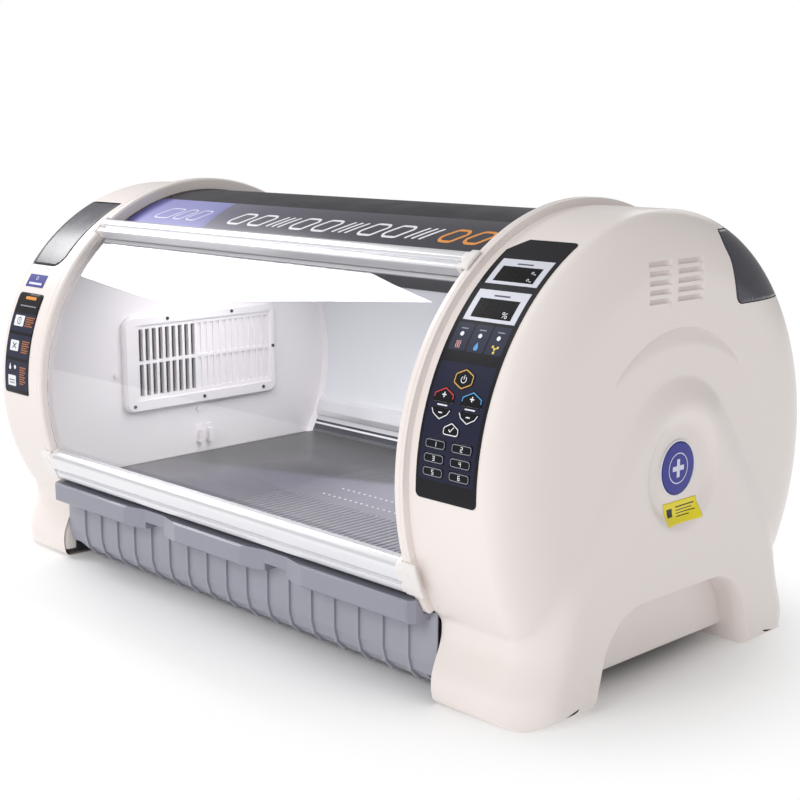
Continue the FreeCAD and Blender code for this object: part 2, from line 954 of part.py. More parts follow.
def display_prism(display, side, foot, head, inner, outer):
    # A display's rectangle, drawn in by the given margins.
    across, angle, half_x, half_s = display
    centre = half_gap + panel_inboard + across
    half_x = half_x - side
    corners = rectangle(centre - half_x, foot - half_s, centre + half_x, half_s - head)
    prism = radial_prism(corners, angle, inner - key_length, outer + key_length)
    return prism.common(sector(inner, outer, angle - view_span, angle + view_span, half_gap, cap_end))


def corner_cutter(x, degrees, sign_x, sign_s, radius):
    # What a round corner takes off the film: signs point from the corner into the film.
    past = 2.0
    corners = [
        (x - sign_x * past, -sign_s * past, 0.0),
        (x + sign_x * radius, -sign_s * past, 0.0),
        (x + sign_x * radius, 0.0, 0.0),
        (x, 0.0, radius),
        (x, sign_s * radius, 0.0),
        (x - sign_x * past, sign_s * radius, 0.0),
    ]
    return radial_prism(corners, degrees, cap_radius - 5.0, cap_radius + panel_thickness + 5.0)


def make_panel():
    # A thin stiff film laid round the shell, with its top inboard corner cut off.
    start, end = panel_ends()
    outer = cap_radius + panel_thickness
    past = 2.0
    plate = sector(cap_radius, outer, panel_low_angle, panel_high_angle, start, end)
    cuts = [
        corner_cutter(start, panel_low_angle, 1.0, 1.0, panel_round),
        corner_cutter(end, panel_low_angle, -1.0, 1.0, panel_round),
        corner_cutter(end, panel_high_angle, -1.0, -1.0, panel_round),
    ]
    cut_corner = [
        (start - past, -(panel_cut + past) * panel_cut_slope, 0.0),
        (start + panel_cut + past, past * panel_cut_slope, 0.0),
        (start - past, past * panel_cut_slope, 0.0),
    ]
    cuts.append(radial_prism(cut_corner, panel_high_angle, cap_radius - key_length, outer + key_length))
    for key in keys:
        cuts.append(key_hole(key))
    for display in displays:
        cuts.append(display_prism(display, 0.0, 0.0, 0.0, cap_radius - 1.0, outer + cap_wall))
    for cut in cuts:
        plate = plate.cut(cut)
    return plate


def window_prism(display, inner, outer):
    # The dark pane's place inside its bezel, which is deepest above it.
    return display_prism(display, bezel_side, bezel_foot, bezel_head, inner, outer)


def make_bezels():
    rings = []
    for display in displays:
        outer = display_prism(display, 0.0, 0.0, 0.0, cap_radius, cap_radius + panel_thickness + bezel_rise)
        inner = window_prism(display, cap_radius - 1.0, cap_radius + key_length)
        rings.append(outer.cut(inner))
    return grouped(rings)


def make_windows():
    panes = []
    for display in displays:
        panes.append(window_prism(display, cap_radius, cap_radius + panel_thickness + pane_rise))
    return grouped(panes)


def make_lenses():
    domes = []
    base = cap_radius + panel_thickness
    for across, angle in lenses:
        centre = half_gap + panel_inboard + across
        domes.append(radial_prism(polygon(centre, 0.0, lens_radius, lens_side_count), angle, base, base + lens_rise))
    return grouped(domes)


def make_switch_strip():
    # A curved carrier behind the keys, with a rim that rests on the inside of the cap.
    start, end = panel_ends()
    start = start + carrier_inset
    end = end - carrier_inset
    face = cap_radius + panel_thickness - key_length - key_travel - carrier_gap
    low, high = key_span(key_window_margin + 1.0)
    parts = [sector(face - key_backing, face, low, high, start, end)]
    for x0 in (start, end - key_rim):
        parts.append(sector(face - key_backing / 2.0, cap_radius - cap_wall, low, high, x0, x0 + key_rim))
    return joined(parts)


# Door

def rail_section(low, high):
    # A bright extrusion: a bold rounded bead above, a groove, and a lower lip.
    base = sheet_outer
    corners = [(base, low, 0.0)]
    for drop, share, rounding in rail_shape:
        corners.append((rail_outer - drop, low + (high - low) * share, rounding))
    corners.append((base, high, 0.0))
    return corners


def door_rail(low, high):
    half = half_gap - plug_length
    rail = polar_prism(rail_section(low, high), -half, half)
    return rail.cut(rod_x(sheet_outer, -half, half, 0, axis_height))


def door_plugs(low, high, reach):
    # Moulded ends: a full section up to the sheet's end, then a shoe that rides on the flange.
    inner = half_gap - plug_length
    sheet_end = half_gap - sheet_end_gap
    outer = half_gap + reach
    right = polar_prism(rail_section(low, high), inner, outer, plug_run_count)
    right = right.cut(rod_x(sheet_outer, inner, sheet_end, 0, axis_height))
    right = right.cut(rod_x(flange_radius + running_gap, sheet_end, outer, 0, axis_height))
    mirror = right.mirror(Vec(0, 0, 0), Vec(1, 0, 0))
    return [right, mirror]


# Drawer

def drawer_section(inset, back, back_round):
    # The drawer seen from its end: the front wall turns under into the bottom with a large round.
    top = drawer_top if inset <= 0.0 else drawer_top + 1.0
    front = -drawer_front + inset
    low = drawer_bottom + inset
    corners = [(front, top, 0.0), (front, low, drawer_round - inset), (back, low, back_round), (back, top, 0.0)]
    return chorded(corners, drawer_run_count)


def grip_plan():
    # Where each grip starts, reaches full depth, leaves it and ends.
    end = lip_half_length
    return [
        (-grip_half - grip_taper, -grip_half, grip_half, grip_half + grip_taper),
        (outer_grip_start - grip_taper, outer_grip_start, end - grip_end, end),
        (-end, -end + grip_end, -outer_grip_start, -outer_grip_start + grip_taper),
    ]


def rib_top(x):
    # The ribs end under the lip, lower down where a grip hangs over them.
    half = front_rib_width / 2.0
    for start, full, leave, end in grip_plan():
        if start - half <= x <= end + half:
            return lip_low
    return lip_bar_low


def drawer_shell():
    # The open box of the drawer.
    side = drawer_side
    outer = drawer_section(0.0, drawer_rear, drawer_rear_round)
    return prism_x(outer, -side, side).cut(drawer_hollow())


def drawer_hollow():
    side = drawer_side - drawer_wall
    inner = drawer_section(drawer_wall, drawer_rear - drawer_wall, drawer_rear_round - drawer_wall)
    return prism_x(inner, -side, side)


def drawer_rims():
    # Flat side rims that slide on the frame's runners.
    outer = frame_half - frame_sheet - wing_gap
    rims = []
    for sign in (-1.0, 1.0):
        x0, x1 = sorted((sign * (drawer_side - 1.0), sign * outer))
        rims.append(block(x0, x1, -member_front, drawer_rear, rim_top - drawer_wall, rim_top))
    return rims


def drawer_wings():
    # The front wall runs on past the box, to the feet, and is lower where the flanges pass.
    half = foot_inner - front_side_gap
    face = prism_x(drawer_section(0.0, 0.0, 0.0), -half, half)
    face = face.cut(prism_x(drawer_section(drawer_wall, 0.0, 0.0), -half, half))
    face = face.common(block(-half, half, -drawer_front, -drawer_front + wing_depth, 0.0, drawer_top))
    flange_edge = half_gap - wing_gap
    for x0, x1 in ((-half, -flange_edge), (flange_edge, half)):
        face = face.cut(block(x0, x1, -drawer_front, 0.0, rim_top, far))
    return face


def drawer_ribs():
    # Upright ribs on the front wall that turn under with it.
    first = -(front_rib_count - 1) / 2.0 * rib_pitch
    back = -drawer_front + drawer_round + front_rib_width
    ribs = []
    for index in range(front_rib_count):
        middle = first + index * rib_pitch
        rib = prism_x(
            drawer_section(-front_rib_rise, back, 0.0),
            middle - front_rib_width / 2.0,
            middle + front_rib_width / 2.0,
        )
        ribs.append(rib.common(block(-far, far, -far, far, 0.0, rib_top(middle))).cut(drawer_hollow()))
    return ribs


def make_drawer_tray():
    return joined([drawer_shell(), drawer_wings()] + drawer_rims() + drawer_ribs())


def drawer_grip(a, b, c, d):
    # One thicker grip and the finger pocket under it.
    back = -drawer_front
    plan = [
        (a, back, 0.0),
        (a, -lip_bar_front, 0.0),
        (b, -lip_front, lip_round),
        (c, -lip_front, lip_round),
        (d, -lip_bar_front, 0.0),
        (d, back, 0.0),
    ]
    section = [
        (back, lip_low, 0.0),
        (-lip_front, lip_low, lip_round),
        (-lip_front, lip_top, lip_round),
        (back, lip_top, 0.0),
    ]
    grip = prism_z(chorded(plan, 1), lip_low, lip_top).common(prism_x(chorded(section, 1), a, d))
    front = -lip_front + lip_wall
    pocket = block(b + pocket_side, c - pocket_side, front, back - lip_wall, lip_low - 1.0, lip_top - pocket_top)
    return grip, pocket


def make_drawer_lip():
    # A bar along the front wall with three thicker grips, hollow underneath for the fingers.
    lip = block(-lip_half_length, lip_half_length, -lip_bar_front, -drawer_front, lip_bar_low, lip_top)
    grips = [drawer_grip(*plan) for plan in grip_plan()]
    for grip, pocket in grips:
        lip = lip.fuse(grip)
    for grip, pocket in grips:
        lip = lip.cut(pocket)
    # The ends pass in front of the flanges.
    for sign in (-1.0, 1.0):
        x0, x1 = sorted((sign * (half_gap - wing_gap), sign * (lip_half_length + wing_gap)))
        flange = rod_x(flange_radius + wing_gap, x0, x1, 0, axis_height)
        lip = lip.cut(flange.common(block(x0, x1, -far, 0.0, rim_top, far)))
    return lip.removeSplitter()


# Base frame and floor

def frame_side(sign):
    # One side sheet with the shelf that carries the floor and the drawer's runner.
    outer = frame_half
    inner = frame_half - frame_sheet
    top = floor_height
    runner_top = rim_top - drawer_wall - runner_gap
    levels = [
        (inner, outer, -member_front, frame_low, top),
        (inner - frame_shelf, inner, -member_front, top - frame_sheet, top),
        (drawer_side + runner_side_gap, inner, -drawer_front + drawer_rear_round, runner_top - runner_thickness, runner_top),
    ]
    parts = []
    for near, away, front, low, high in levels:
        x0, x1 = sorted((sign * near, sign * away))
        parts.append(block(x0, x1, front, frame_rear, low, high))
    return parts


def make_base_frame():
    outer = frame_half
    inner = frame_half - frame_sheet
    top = floor_height
    rear = frame_rear - frame_sheet
    parts = frame_side(-1.0) + frame_side(1.0)
    parts.append(block(-outer, outer, rear, frame_rear, frame_low, top))
    parts.append(block(-inner, inner, rear - frame_shelf, rear, top - frame_sheet, top))
    half = cross_member_width / 2.0
    for x in (-outer / 3.0, outer / 3.0):
        parts.append(block(x - half, x + half, -member_front, rear, top - cross_member_depth, top))
    return joined(parts)


def make_sill():
    # A folded strip across the front that carries the door's seal.
    back = -member_front
    front = back - frame_sheet
    lip = polar(sheet_outer + sill_proud, -sill_lip_angle)
    under = polar(sheet_outer + sill_proud, -sill_lip_angle - sill_lip_span)
    root = polar(sheet_radius - frame_sheet, -sill_lip_angle)
    low = floor_height - cross_member_depth
    points = [
        (lip.y, lip.z),
        (under.y, under.z),
        (front, under.z - 1.0),
        (front, low),
        (back, low),
        (back, root.z),
        (root.y, root.z),
    ]
    half = half_gap - sill_end_gap
    return prism_x(with_rounding(points), -half, half)


def make_sill_seal():
    corners = [
        (sheet_outer, -sill_lip_angle, 0.0),
        (sheet_outer, door_low_angle - seal_gap_angle, 0.0),
        (sheet_radius - frame_sheet, door_low_angle - seal_gap_angle, 0.0),
        (sheet_radius - frame_sheet, -sill_lip_angle, 0.0),
    ]
    half = half_gap - sheet_end_gap
    return polar_prism(corners, -half, half)


def make_floor_plate():
    # A plate with long drain slots over its right part.
    low = floor_height
    high = floor_height + floor_thickness
    plate = prism_z(rectangle(-floor_half, -floor_front, floor_half, floor_rear, floor_corner), low, high)
    count = int((floor_half - floor_margin - slot_first) / slot_pitch)
    slots = []
    for index in range(count):
        x = slot_first + index * slot_pitch
        slots.append(block(x, x + slot_width, slot_front, slot_rear, low - 1.0, high + 1.0))
    return plate.cut(slots)


# Liner, covers and rear profiles

def make_liner():
    return sector(
        liner_radius,
        liner_radius + liner_thickness,
        cover_front_angle,
        liner_low_angle,
        -liner_end,
        liner_end,
    )


def cover_ribs(low, high):
    # Curved ribs that hold a cover off the liner.
    half = half_gap - cover_end_gap
    ribs = []
    for index in range(rib_count):
        x = -half + index * (2.0 * half - rib_thickness) / (rib_count - 1)
        inner = liner_radius + liner_thickness
        ribs.append(sector(inner, cover_radius - cover_thickness + film_seat, low, high, x, x + rib_thickness))
    return ribs


def make_top_cover():
    half = half_gap - cover_end_gap
    inner = cover_radius - cover_thickness
    front = cover_front_angle + math.degrees(cover_thickness / inner)
    parts = [
        sector(inner, cover_radius, cover_front_angle, stop_angle, -half, half),
        sector(liner_radius + liner_thickness, inner + film_seat, cover_front_angle, front, -half, half),
    ]
    return joined(parts + cover_ribs(cover_front_angle, stop_angle))


def make_rear_cover():
    # A curved back that drops straight to the base, with a raised lip that stops the door.
    half = half_gap - cover_end_gap
    outer = cover_radius
    inner = cover_radius - cover_thickness
    # The straight part starts where the curve reaches the back plane.
    low_angle = 180.0 + math.degrees(math.acos(back_plane / outer))
    height = axis_height - math.sqrt(outer ** 2 - back_plane ** 2)
    curved = sector(inner, outer, stop_angle, low_angle, -half, half)
    flat = block(-half, half, back_plane - cover_thickness, back_plane, rear_cover_low, height + cover_thickness)
    lip_span = math.degrees(cover_thickness / outer)
    lip = sector(inner, rail_outer - stop_lip_drop, stop_angle, stop_angle + lip_span, -half, half)
    body = joined([curved, flat, lip] + cover_ribs(stop_angle, liner_low_angle - stop_lip_drop / 2.0))
    return body.cut(block(-far, far, 0.0, frame_rear, 0.0, floor_height + film_seat))


def make_rear_profile(low, high):
    # A bright strip that follows the inside of the liner between two heights.
    low_angle = 180.0 - math.degrees(math.asin((high - axis_height) / liner_radius))
    high_angle = 180.0 - math.degrees(math.asin((low - axis_height) / liner_radius))
    span = high_angle - low_angle
    edge = liner_radius - profile_rise * 0.4
    face = liner_radius - profile_rise
    corners = [
        (liner_radius + liner_thickness, low_angle, 0.0),
        (edge, low_angle, 1.0),
        (face, low_angle + span * 0.25, profile_bulge),
        (face, low_angle + span * 0.75, profile_bulge),
        (edge, high_angle, 1.0),
        (liner_radius + liner_thickness, high_angle, 0.0),
    ]
    strip = polar_prism(corners, -liner_end, liner_end, 2)
    return strip.common(rod_x(liner_radius, -liner_end, liner_end, 0, axis_height))


# End walls and what they carry

def plain_end_wall():
    # A stepped disc for the right end: a rim behind the flange, then the wall face.
    front = half_gap + flange_width
    points = [
        (front, ring_inner + wall_rim),
        (front, liner_radius),
        (wall_face, liner_radius),
        (wall_face, 0.0),
        (wall_face + wall_thickness, 0.0),
        (wall_face + wall_thickness, liner_radius + wall_thickness),
        (front + wall_thickness, liner_radius + wall_thickness),
        (front + wall_thickness, ring_inner + wall_rim),
    ]
    return turned(points).common(block(0.0, far, -far, far, floor_height, far))


def make_left_wall():
    wall = turned_half(plain_end_wall())
    wall = wall.cut(block(-far, 0.0, grille_front, grille_rear, grille_low, grille_high))
    for y, z in bump_places:
        bump = prism_x(polygon(y, z, bump_radius, screw_side_count), -wall_face - 1.0, -wall_face + bump_rise)
        wall = wall.fuse(bump)
    return wall


def make_grille():
    # A raised frame round two rows of slots; the first ones are open, the rest are blind grooves.
    back = -wall_face
    front = back + vent_rise
    body = prism_x(rectangle(vent_front, vent_low, vent_rear, vent_high, vent_round), back, front)
    edges = [edge for edge in body.Edges if edge.BoundBox.XMin > front - 0.1]
    body = body.makeChamfer(vent_bevel, edges)
    margin = grille_margin
    face = front - grille_sink
    cuts = [
        block(face, far, grille_front - margin, grille_rear + margin, grille_low - margin, grille_high + margin)
    ]
    pitch = (grille_rear - grille_front) / grille_slot_count
    middle = (grille_low + grille_high) / 2.0
    half_bar = grille_mid_bar / 2.0
    rows = [(grille_low + margin, middle - half_bar), (middle + half_bar, grille_high - margin)]
    for index in range(grille_slot_count):
        y0 = grille_front + index * pitch + grille_bar / 2.0
        y1 = y0 + pitch - grille_bar
        depth = back - 1.0 if index < grille_open_count else face - grille_recess
        for z0, z1 in rows:
            cuts.append(block(depth, front, y0, y1, z0, z1))
    return body.cut(cuts)


def make_grille_screws():
    front = -wall_face + vent_rise
    screws = []
    for y, z in screw_places:
        screws.append(prism_x(polygon(y, z, screw_radius, screw_side_count), front, front + screw_rise))
    return grouped(screws)


def make_hooks():
    # Two upturned hooks, each moulded on a small plate.
    base = -wall_face
    thick, half, below, above = hook_plate
    tip, rise = hook_tip
    low = hook_height - below
    hooks = []
    for y in hook_places:
        near, away = y - hook_wire, y + hook_wire
        plate = block(base, base + thick, y - half, y + half, low, hook_height + above)
        arm = block(base, base + hook_reach, near, away, low, low + 2.0 * hook_wire)
        end = block(base + hook_reach - tip, base + hook_reach, near, away, low, hook_height + rise)
        hooks.append(joined([plate, arm, end]))
    return grouped(hooks)


def make_fan_frame():
    # A square duct behind the open slots, with a spoked shaft holder across its back.
    x1 = -wall_face
    x0 = x1 - fan_depth
    half = fan_radius + fan_border
    y, z = fan_place_y, fan_place_z
    duct = polygon(y, z, fan_radius + fan_tip_gap, fan_duct_side_count)
    box = block(x0, x1, y - half, y + half, z - half, z + half).cut(prism_x(duct, x0, x1))
    hub = prism_x(polygon(y, z, fan_hub_radius, fan_hub_side_count), x0, x0 + fan_plate)
    shaft = rod_x(fan_shaft_radius, x0 + fan_plate / 2.0, x1 - fan_plate, y, z)
    parts = [box, hub, shaft]
    for angle in (45.0, 135.0, 225.0, 315.0):
        spoke = block(x0, x0 + fan_plate, 0.0, fan_radius + fan_plate, -fan_spoke / 2.0, fan_spoke / 2.0)
        spoke.rotate(Vec(0, 0, 0), Vec(1, 0, 0), angle)
        spoke.translate(Vec(0, y, z))
        parts.append(spoke)
    return joined(parts)


def make_fan_rotor():
    # Pitched blades round a hub that turns on the frame's shaft.
    x1 = -wall_face
    x0 = x1 - fan_depth
    low = x0 + fan_play
    high = x1 - fan_blade_end_gap
    parts = [prism_x(polygon(0.0, 0.0, fan_hub_radius, fan_hub_side_count), low, high)]
    for index in range(fan_blade_count):
        root = fan_hub_radius - fan_blade
        blade = block(low, high, root, fan_radius - 1.0, -fan_blade / 2.0, fan_blade / 2.0)
        blade.rotate(Vec((low + high) / 2.0, 0, 0), Vec(0, 1, 0), fan_blade_pitch)
        blade = blade.common(block(low, high, 0.0, far, -far, far))
        blade.rotate(Vec(0, 0, 0), Vec(1, 0, 0), index * 360.0 / fan_blade_count)
        parts.append(blade)
    rotor = joined(parts).cut(rod_x(fan_shaft_radius + fan_clearance, x0, x1, 0, 0))
    rotor.translate(Vec(0, fan_place_y, fan_place_z))
    return rotor


def make_heater():
    # Finned heating bars on the closed half of the grille, beside the fan.
    x1 = -wall_face
    y0 = fan_place_y + fan_radius + heater_gap
    half = heater_height / 2.0
    low, high = fan_place_z - half, fan_place_z + half
    parts = [block(x1 - heater_plate, x1, y0, y0 + heater_width, low, high)]
    pitch = (heater_width - heater_fin) / heater_fin_count
    for index in range(heater_fin_count):
        y = y0 + heater_fin + index * pitch
        parts.append(block(x1 - heater_depth, x1 - heater_plate, y, y + heater_fin, low + heater_plate, high - heater_plate))
    return joined(parts)


# Labels and badge

def cap_plate(inboard, width, low, high):
    # A thin label on the left cap, laid round the shell.
    x1 = -half_gap - inboard
    face = cap_radius + label_lift
    return sector(face, face + label_thickness, low, high, x1 - width, x1)


def make_badge():
    x = frame_face - dish_depth
    return rod_x(badge_radius, x, x + badge_thickness, 0, ridge_height - badge_drop)


def make_sticker():
    x = frame_face - dish_depth
    z = ridge_height - sticker_drop
    half = sticker_width / 2.0
    low, high = z - sticker_height / 2.0, z + sticker_height / 2.0
    return prism_x(chorded(rectangle(-half, low, half, high, sticker_round), 1), x, x + sticker_thickness)


# Mains inlet, switch and inner boxes

def framed_plate(x, z, half_x, half_z, rim, bevel):
    # A thin bevelled plate on the outside of the rear cover.
    corners = rectangle(x - half_x - rim, z - half_z - rim, x + half_x + rim, z + half_z + rim, bevel)
    return prism_y(chorded(corners, 1), back_plane, back_plane + inlet_plate)


def make_inlet():
    # The mains inlet: a plate, a body behind it, and a well with three pins.
    x, y, z = inlet_place, back_plane, inlet_level
    half_x = inlet_width / 2.0
    half_z = inlet_height / 2.0
    shape = framed_plate(x, z, half_x, half_z, inlet_rim, inlet_bevel)
    shape = shape.fuse(block(x - half_x, x + half_x, y - inlet_body, y + 1.0, z - half_z, z + half_z))
    wall = inlet_bevel
    well = rectangle(x - half_x + wall, z - half_z + wall, x + half_x - wall, z + half_z - wall, wall)
    shape = shape.cut(prism_y(chorded(well, 1), y - inlet_well, y + inlet_plate))
    pin_x, pin_z, pin_sink = inlet_pin
    for across, up in inlet_pins:
        px, pz = x + across, z + up
        shape = shape.fuse(block(px - pin_x, px + pin_x, y - inlet_well - 1.0, y - pin_sink, pz - pin_z, pz + pin_z))
    return shape.removeSplitter()


def switch_centre():
    return inlet_place - switch_offset, back_plane, inlet_level


def inlet_hole(gap):
    half_x = inlet_width / 2.0 + gap
    half_z = inlet_height / 2.0 + gap
    x, z = inlet_place, inlet_level
    return block(x - half_x, x + half_x, back_plane - hole_depth, back_plane, z - half_z, z + half_z)


def switch_hole(gap):
    x, y, z = switch_centre()
    half_x = switch_width / 2.0 + switch_wall + gap
    half_z = switch_height / 2.0 + switch_wall + gap
    return block(x - half_x, x + half_x, y - hole_depth, y, z - half_z, z + half_z)


def make_switch_frame():
    # A frame with a well, crossed by the rocker's pivot.
    x, y, z = switch_centre()
    half_x = switch_width / 2.0
    half_z = switch_height / 2.0
    side = half_x + switch_wall
    top = half_z + switch_wall
    shape = framed_plate(x, z, half_x, half_z, switch_rim, 2.0)
    shape = shape.fuse(block(x - side, x + side, y - inlet_body, y + 1.0, z - top, z + top))
    shape = shape.cut(block(x - half_x, x + half_x, y - inlet_body + 2.0, far, z - half_z, z + half_z))
    shape = shape.fuse(rod_x(pivot_radius, x - half_x - 1.0, x + half_x + 1.0, y - pivot_depth, z))
    return shape.removeSplitter()


def make_switch_rocker():
    # A rocker with two raised ends, bored for the pivot.
    x, y, z = switch_centre()
    half_x = switch_width / 2.0 - rocker_side_gap
    half_z = switch_height / 2.0 - rocker_end_gap
    points = [(y + depth, z + half_z * share) for depth, share in rocker_shape]
    rocker = prism_x(with_rounding(points), x - half_x, x + half_x)
    bore = rod_x(pivot_radius + pivot_running, x - half_x - 1.0, x + half_x + 1.0, y - pivot_depth, z)
    return rocker.cut(bore)


def make_water_tank():
    # The humidifier's tank hangs on the back of the left wall, under the port, with its filling neck on top.
    x1 = -wall_face - wall_thickness
    x0 = x1 - tank_depth
    y0 = -tank_front
    y1 = y0 + tank_width
    z0 = fan_place_z + fan_radius + fan_border + tank_gap
    z1 = z0 + tank_height
    wall = tank_wall
    outer = rectangle(x0, y0, x1, y1, tank_round)
    inner = rectangle(x0 + wall, y0 + wall, x1 - wall, y1 - wall, tank_round - wall)
    x, y = (x0 + x1) / 2.0, (y0 + y1) / 2.0
    top = z1 + tank_neck_height
    neck = prism_z(polygon(x, y, tank_neck, tank_neck_side_count), z1 - wall, top)
    mouth = prism_z(polygon(x, y, tank_neck - wall, tank_neck_side_count), z1 - 2.0 * wall, top)
    tank = prism_z(chorded(outer, 1), z0, z1).cut(prism_z(chorded(inner, 1), z0 + wall, z1 - wall))
    return tank.fuse(neck).cut(mouth).removeSplitter()


# All pieces

def build():
    cap = plain_cap()
    pieces["cap_right"] = cap.cut(key_window())
    pieces["cap_left"] = turned_half(cap)
    port = port_cover_right()
    pin = port_pin_right()
    pieces["port_cover_right"] = port
    pieces["port_cover_left"] = turned_half(port)
    pieces["port_pins"] = grouped([pin, turned_half(pin)])

    pieces["control_panel"] = make_panel()
    pieces["display_bezels"] = make_bezels()
    pieces["display_windows"] = make_windows()
    pieces["indicator_lenses"] = make_lenses()
    pieces["key_carrier"] = make_switch_strip()
    for key in keys:
        pieces[key[0]] = key_solid(key)

    half = half_gap - sheet_end_gap
    pieces["door_sheet"] = sector(sheet_radius, sheet_outer, door_low_angle, door_high_angle, -half, half)
    pieces["door_rail_lower"] = door_rail(door_low_angle, low_rail_top_angle)
    pieces["door_rail_upper"] = door_rail(high_rail_low_angle, door_high_angle)
    plugs = door_plugs(door_low_angle, low_rail_top_angle, plug_reach_low)
    plugs = plugs + door_plugs(high_rail_low_angle, door_high_angle, plug_reach_high)
    pieces["door_end_plugs"] = grouped(plugs)

    pieces["drawer_tray"] = make_drawer_tray()
    pieces["drawer_lip"] = make_drawer_lip()
    pieces["base_frame"] = make_base_frame().cut([inlet_hole(1.0), switch_hole(1.0)])
    pieces["front_sill"] = make_sill()
    pieces["sill_seal"] = make_sill_seal()
    pieces["floor_plate"] = make_floor_plate()

    pieces["chamber_liner"] = make_liner()
    pieces["top_cover"] = make_top_cover()
    pieces["rear_cover"] = make_rear_cover().cut([inlet_hole(0.0), switch_hole(0.0)])
    pieces["power_inlet"] = make_inlet()
    pieces["switch_frame"] = make_switch_frame()
    pieces["switch_rocker"] = make_switch_rocker()
    pieces["ceiling_profile"] = make_rear_profile(top_profile_low, top_profile_high)
    pieces["rear_profile"] = make_rear_profile(bottom_profile_low, bottom_profile_high)

    pieces["end_wall_right"] = plain_end_wall()
    pieces["end_wall_left"] = make_left_wall()
    pieces["vent_grille"] = make_grille()
    pieces["grille_screws"] = make_grille_screws()
    pieces["wall_hooks"] = make_hooks()
    pieces["fan_frame"] = make_fan_frame()
    pieces["fan_rotor"] = make_fan_rotor()
    pieces["heater"] = make_heater()
    pieces["water_tank"] = make_water_tank()

    pieces["badge"] = make_badge()
    pieces["badge_label"] = make_sticker()
    pieces["guide_strip"] = cap_plate(*guide_strip)
    pieces["port_label"] = cap_plate(*port_label)

    pads = [foot_pad(x, y) for x, y in pad_places()]
    pieces["foot_pads"] = grouped(pads + [turned_half(pad) for pad in pads])


def export():
    os.makedirs("parts", exist_ok=True)
    for name, shape in pieces.items():
        shape.exportStep("parts/" + name + ".step")


build()
export()
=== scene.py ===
# Veterinary incubator: the looks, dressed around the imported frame.
import bpy
import bmesh
import json
import math
import numpy as np
from mathutils import Matrix, Vector
from mathutils.geometry import delaunay_2d_cdt


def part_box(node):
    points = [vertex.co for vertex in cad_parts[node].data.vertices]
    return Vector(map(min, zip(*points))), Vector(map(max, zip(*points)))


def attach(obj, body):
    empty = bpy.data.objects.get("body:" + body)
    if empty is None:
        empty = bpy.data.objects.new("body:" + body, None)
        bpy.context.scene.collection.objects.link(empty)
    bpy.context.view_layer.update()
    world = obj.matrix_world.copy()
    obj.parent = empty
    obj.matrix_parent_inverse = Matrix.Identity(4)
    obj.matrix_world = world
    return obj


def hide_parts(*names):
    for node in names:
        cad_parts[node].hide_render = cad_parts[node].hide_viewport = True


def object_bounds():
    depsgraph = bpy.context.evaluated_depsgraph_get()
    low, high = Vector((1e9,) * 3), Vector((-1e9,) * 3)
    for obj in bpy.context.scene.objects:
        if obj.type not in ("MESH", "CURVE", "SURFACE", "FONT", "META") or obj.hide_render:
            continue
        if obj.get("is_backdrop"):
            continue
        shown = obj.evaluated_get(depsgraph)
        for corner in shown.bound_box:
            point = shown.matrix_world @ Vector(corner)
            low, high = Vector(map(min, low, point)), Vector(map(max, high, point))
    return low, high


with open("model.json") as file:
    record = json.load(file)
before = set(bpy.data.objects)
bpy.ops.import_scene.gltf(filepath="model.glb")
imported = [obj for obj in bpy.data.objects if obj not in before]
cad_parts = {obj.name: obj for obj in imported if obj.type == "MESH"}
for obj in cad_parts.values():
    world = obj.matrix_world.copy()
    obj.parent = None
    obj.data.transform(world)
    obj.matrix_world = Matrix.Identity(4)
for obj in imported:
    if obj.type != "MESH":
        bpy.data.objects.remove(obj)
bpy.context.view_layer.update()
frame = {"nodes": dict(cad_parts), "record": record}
nodes = frame["nodes"]
bodyOf = {n: b for b, names in frame["record"]["behaviour"]["bodies"].items() for n in names}
mm = 0.001
print("frame loaded,", len(nodes), "nodes")

# Main sizes, read from the frame and turned into millimetres
capLow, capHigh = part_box("cap_right")
halfGap = capLow.x / mm
flangeRadius = capHigh.y / mm
axisZ = capHigh.z / mm - flangeRadius
faceX = capHigh.x / mm
solesZ = capLow.z / mm


# Colours and materials

def tone(red, green, blue):
    # A colour as seen on a screen (0 to 255), turned into the shader's linear values.
    value = np.array([red, green, blue], float) / 255.0
    return tuple(np.where(value <= 0.04045, value / 12.92, ((value + 0.055) / 1.055) ** 2.4))


socketNames = {
    "metallic": "Metallic",
    "coat": "Coat Weight",
    "coatRoughness": "Coat Roughness",
    "specular": "Specular IOR Level",
    "ior": "IOR",
    "transmission": "Transmission Weight",
    "subsurface": "Subsurface Weight",
    "anisotropic": "Anisotropic",
    "alpha": "Alpha",
}


def addNode(tree, kind, **values):
    node = tree.nodes.new(kind)
    for name, value in values.items():
        if name in node.inputs:
            node.inputs[name].default_value = value
        else:
            setattr(node, name, value)
    return node


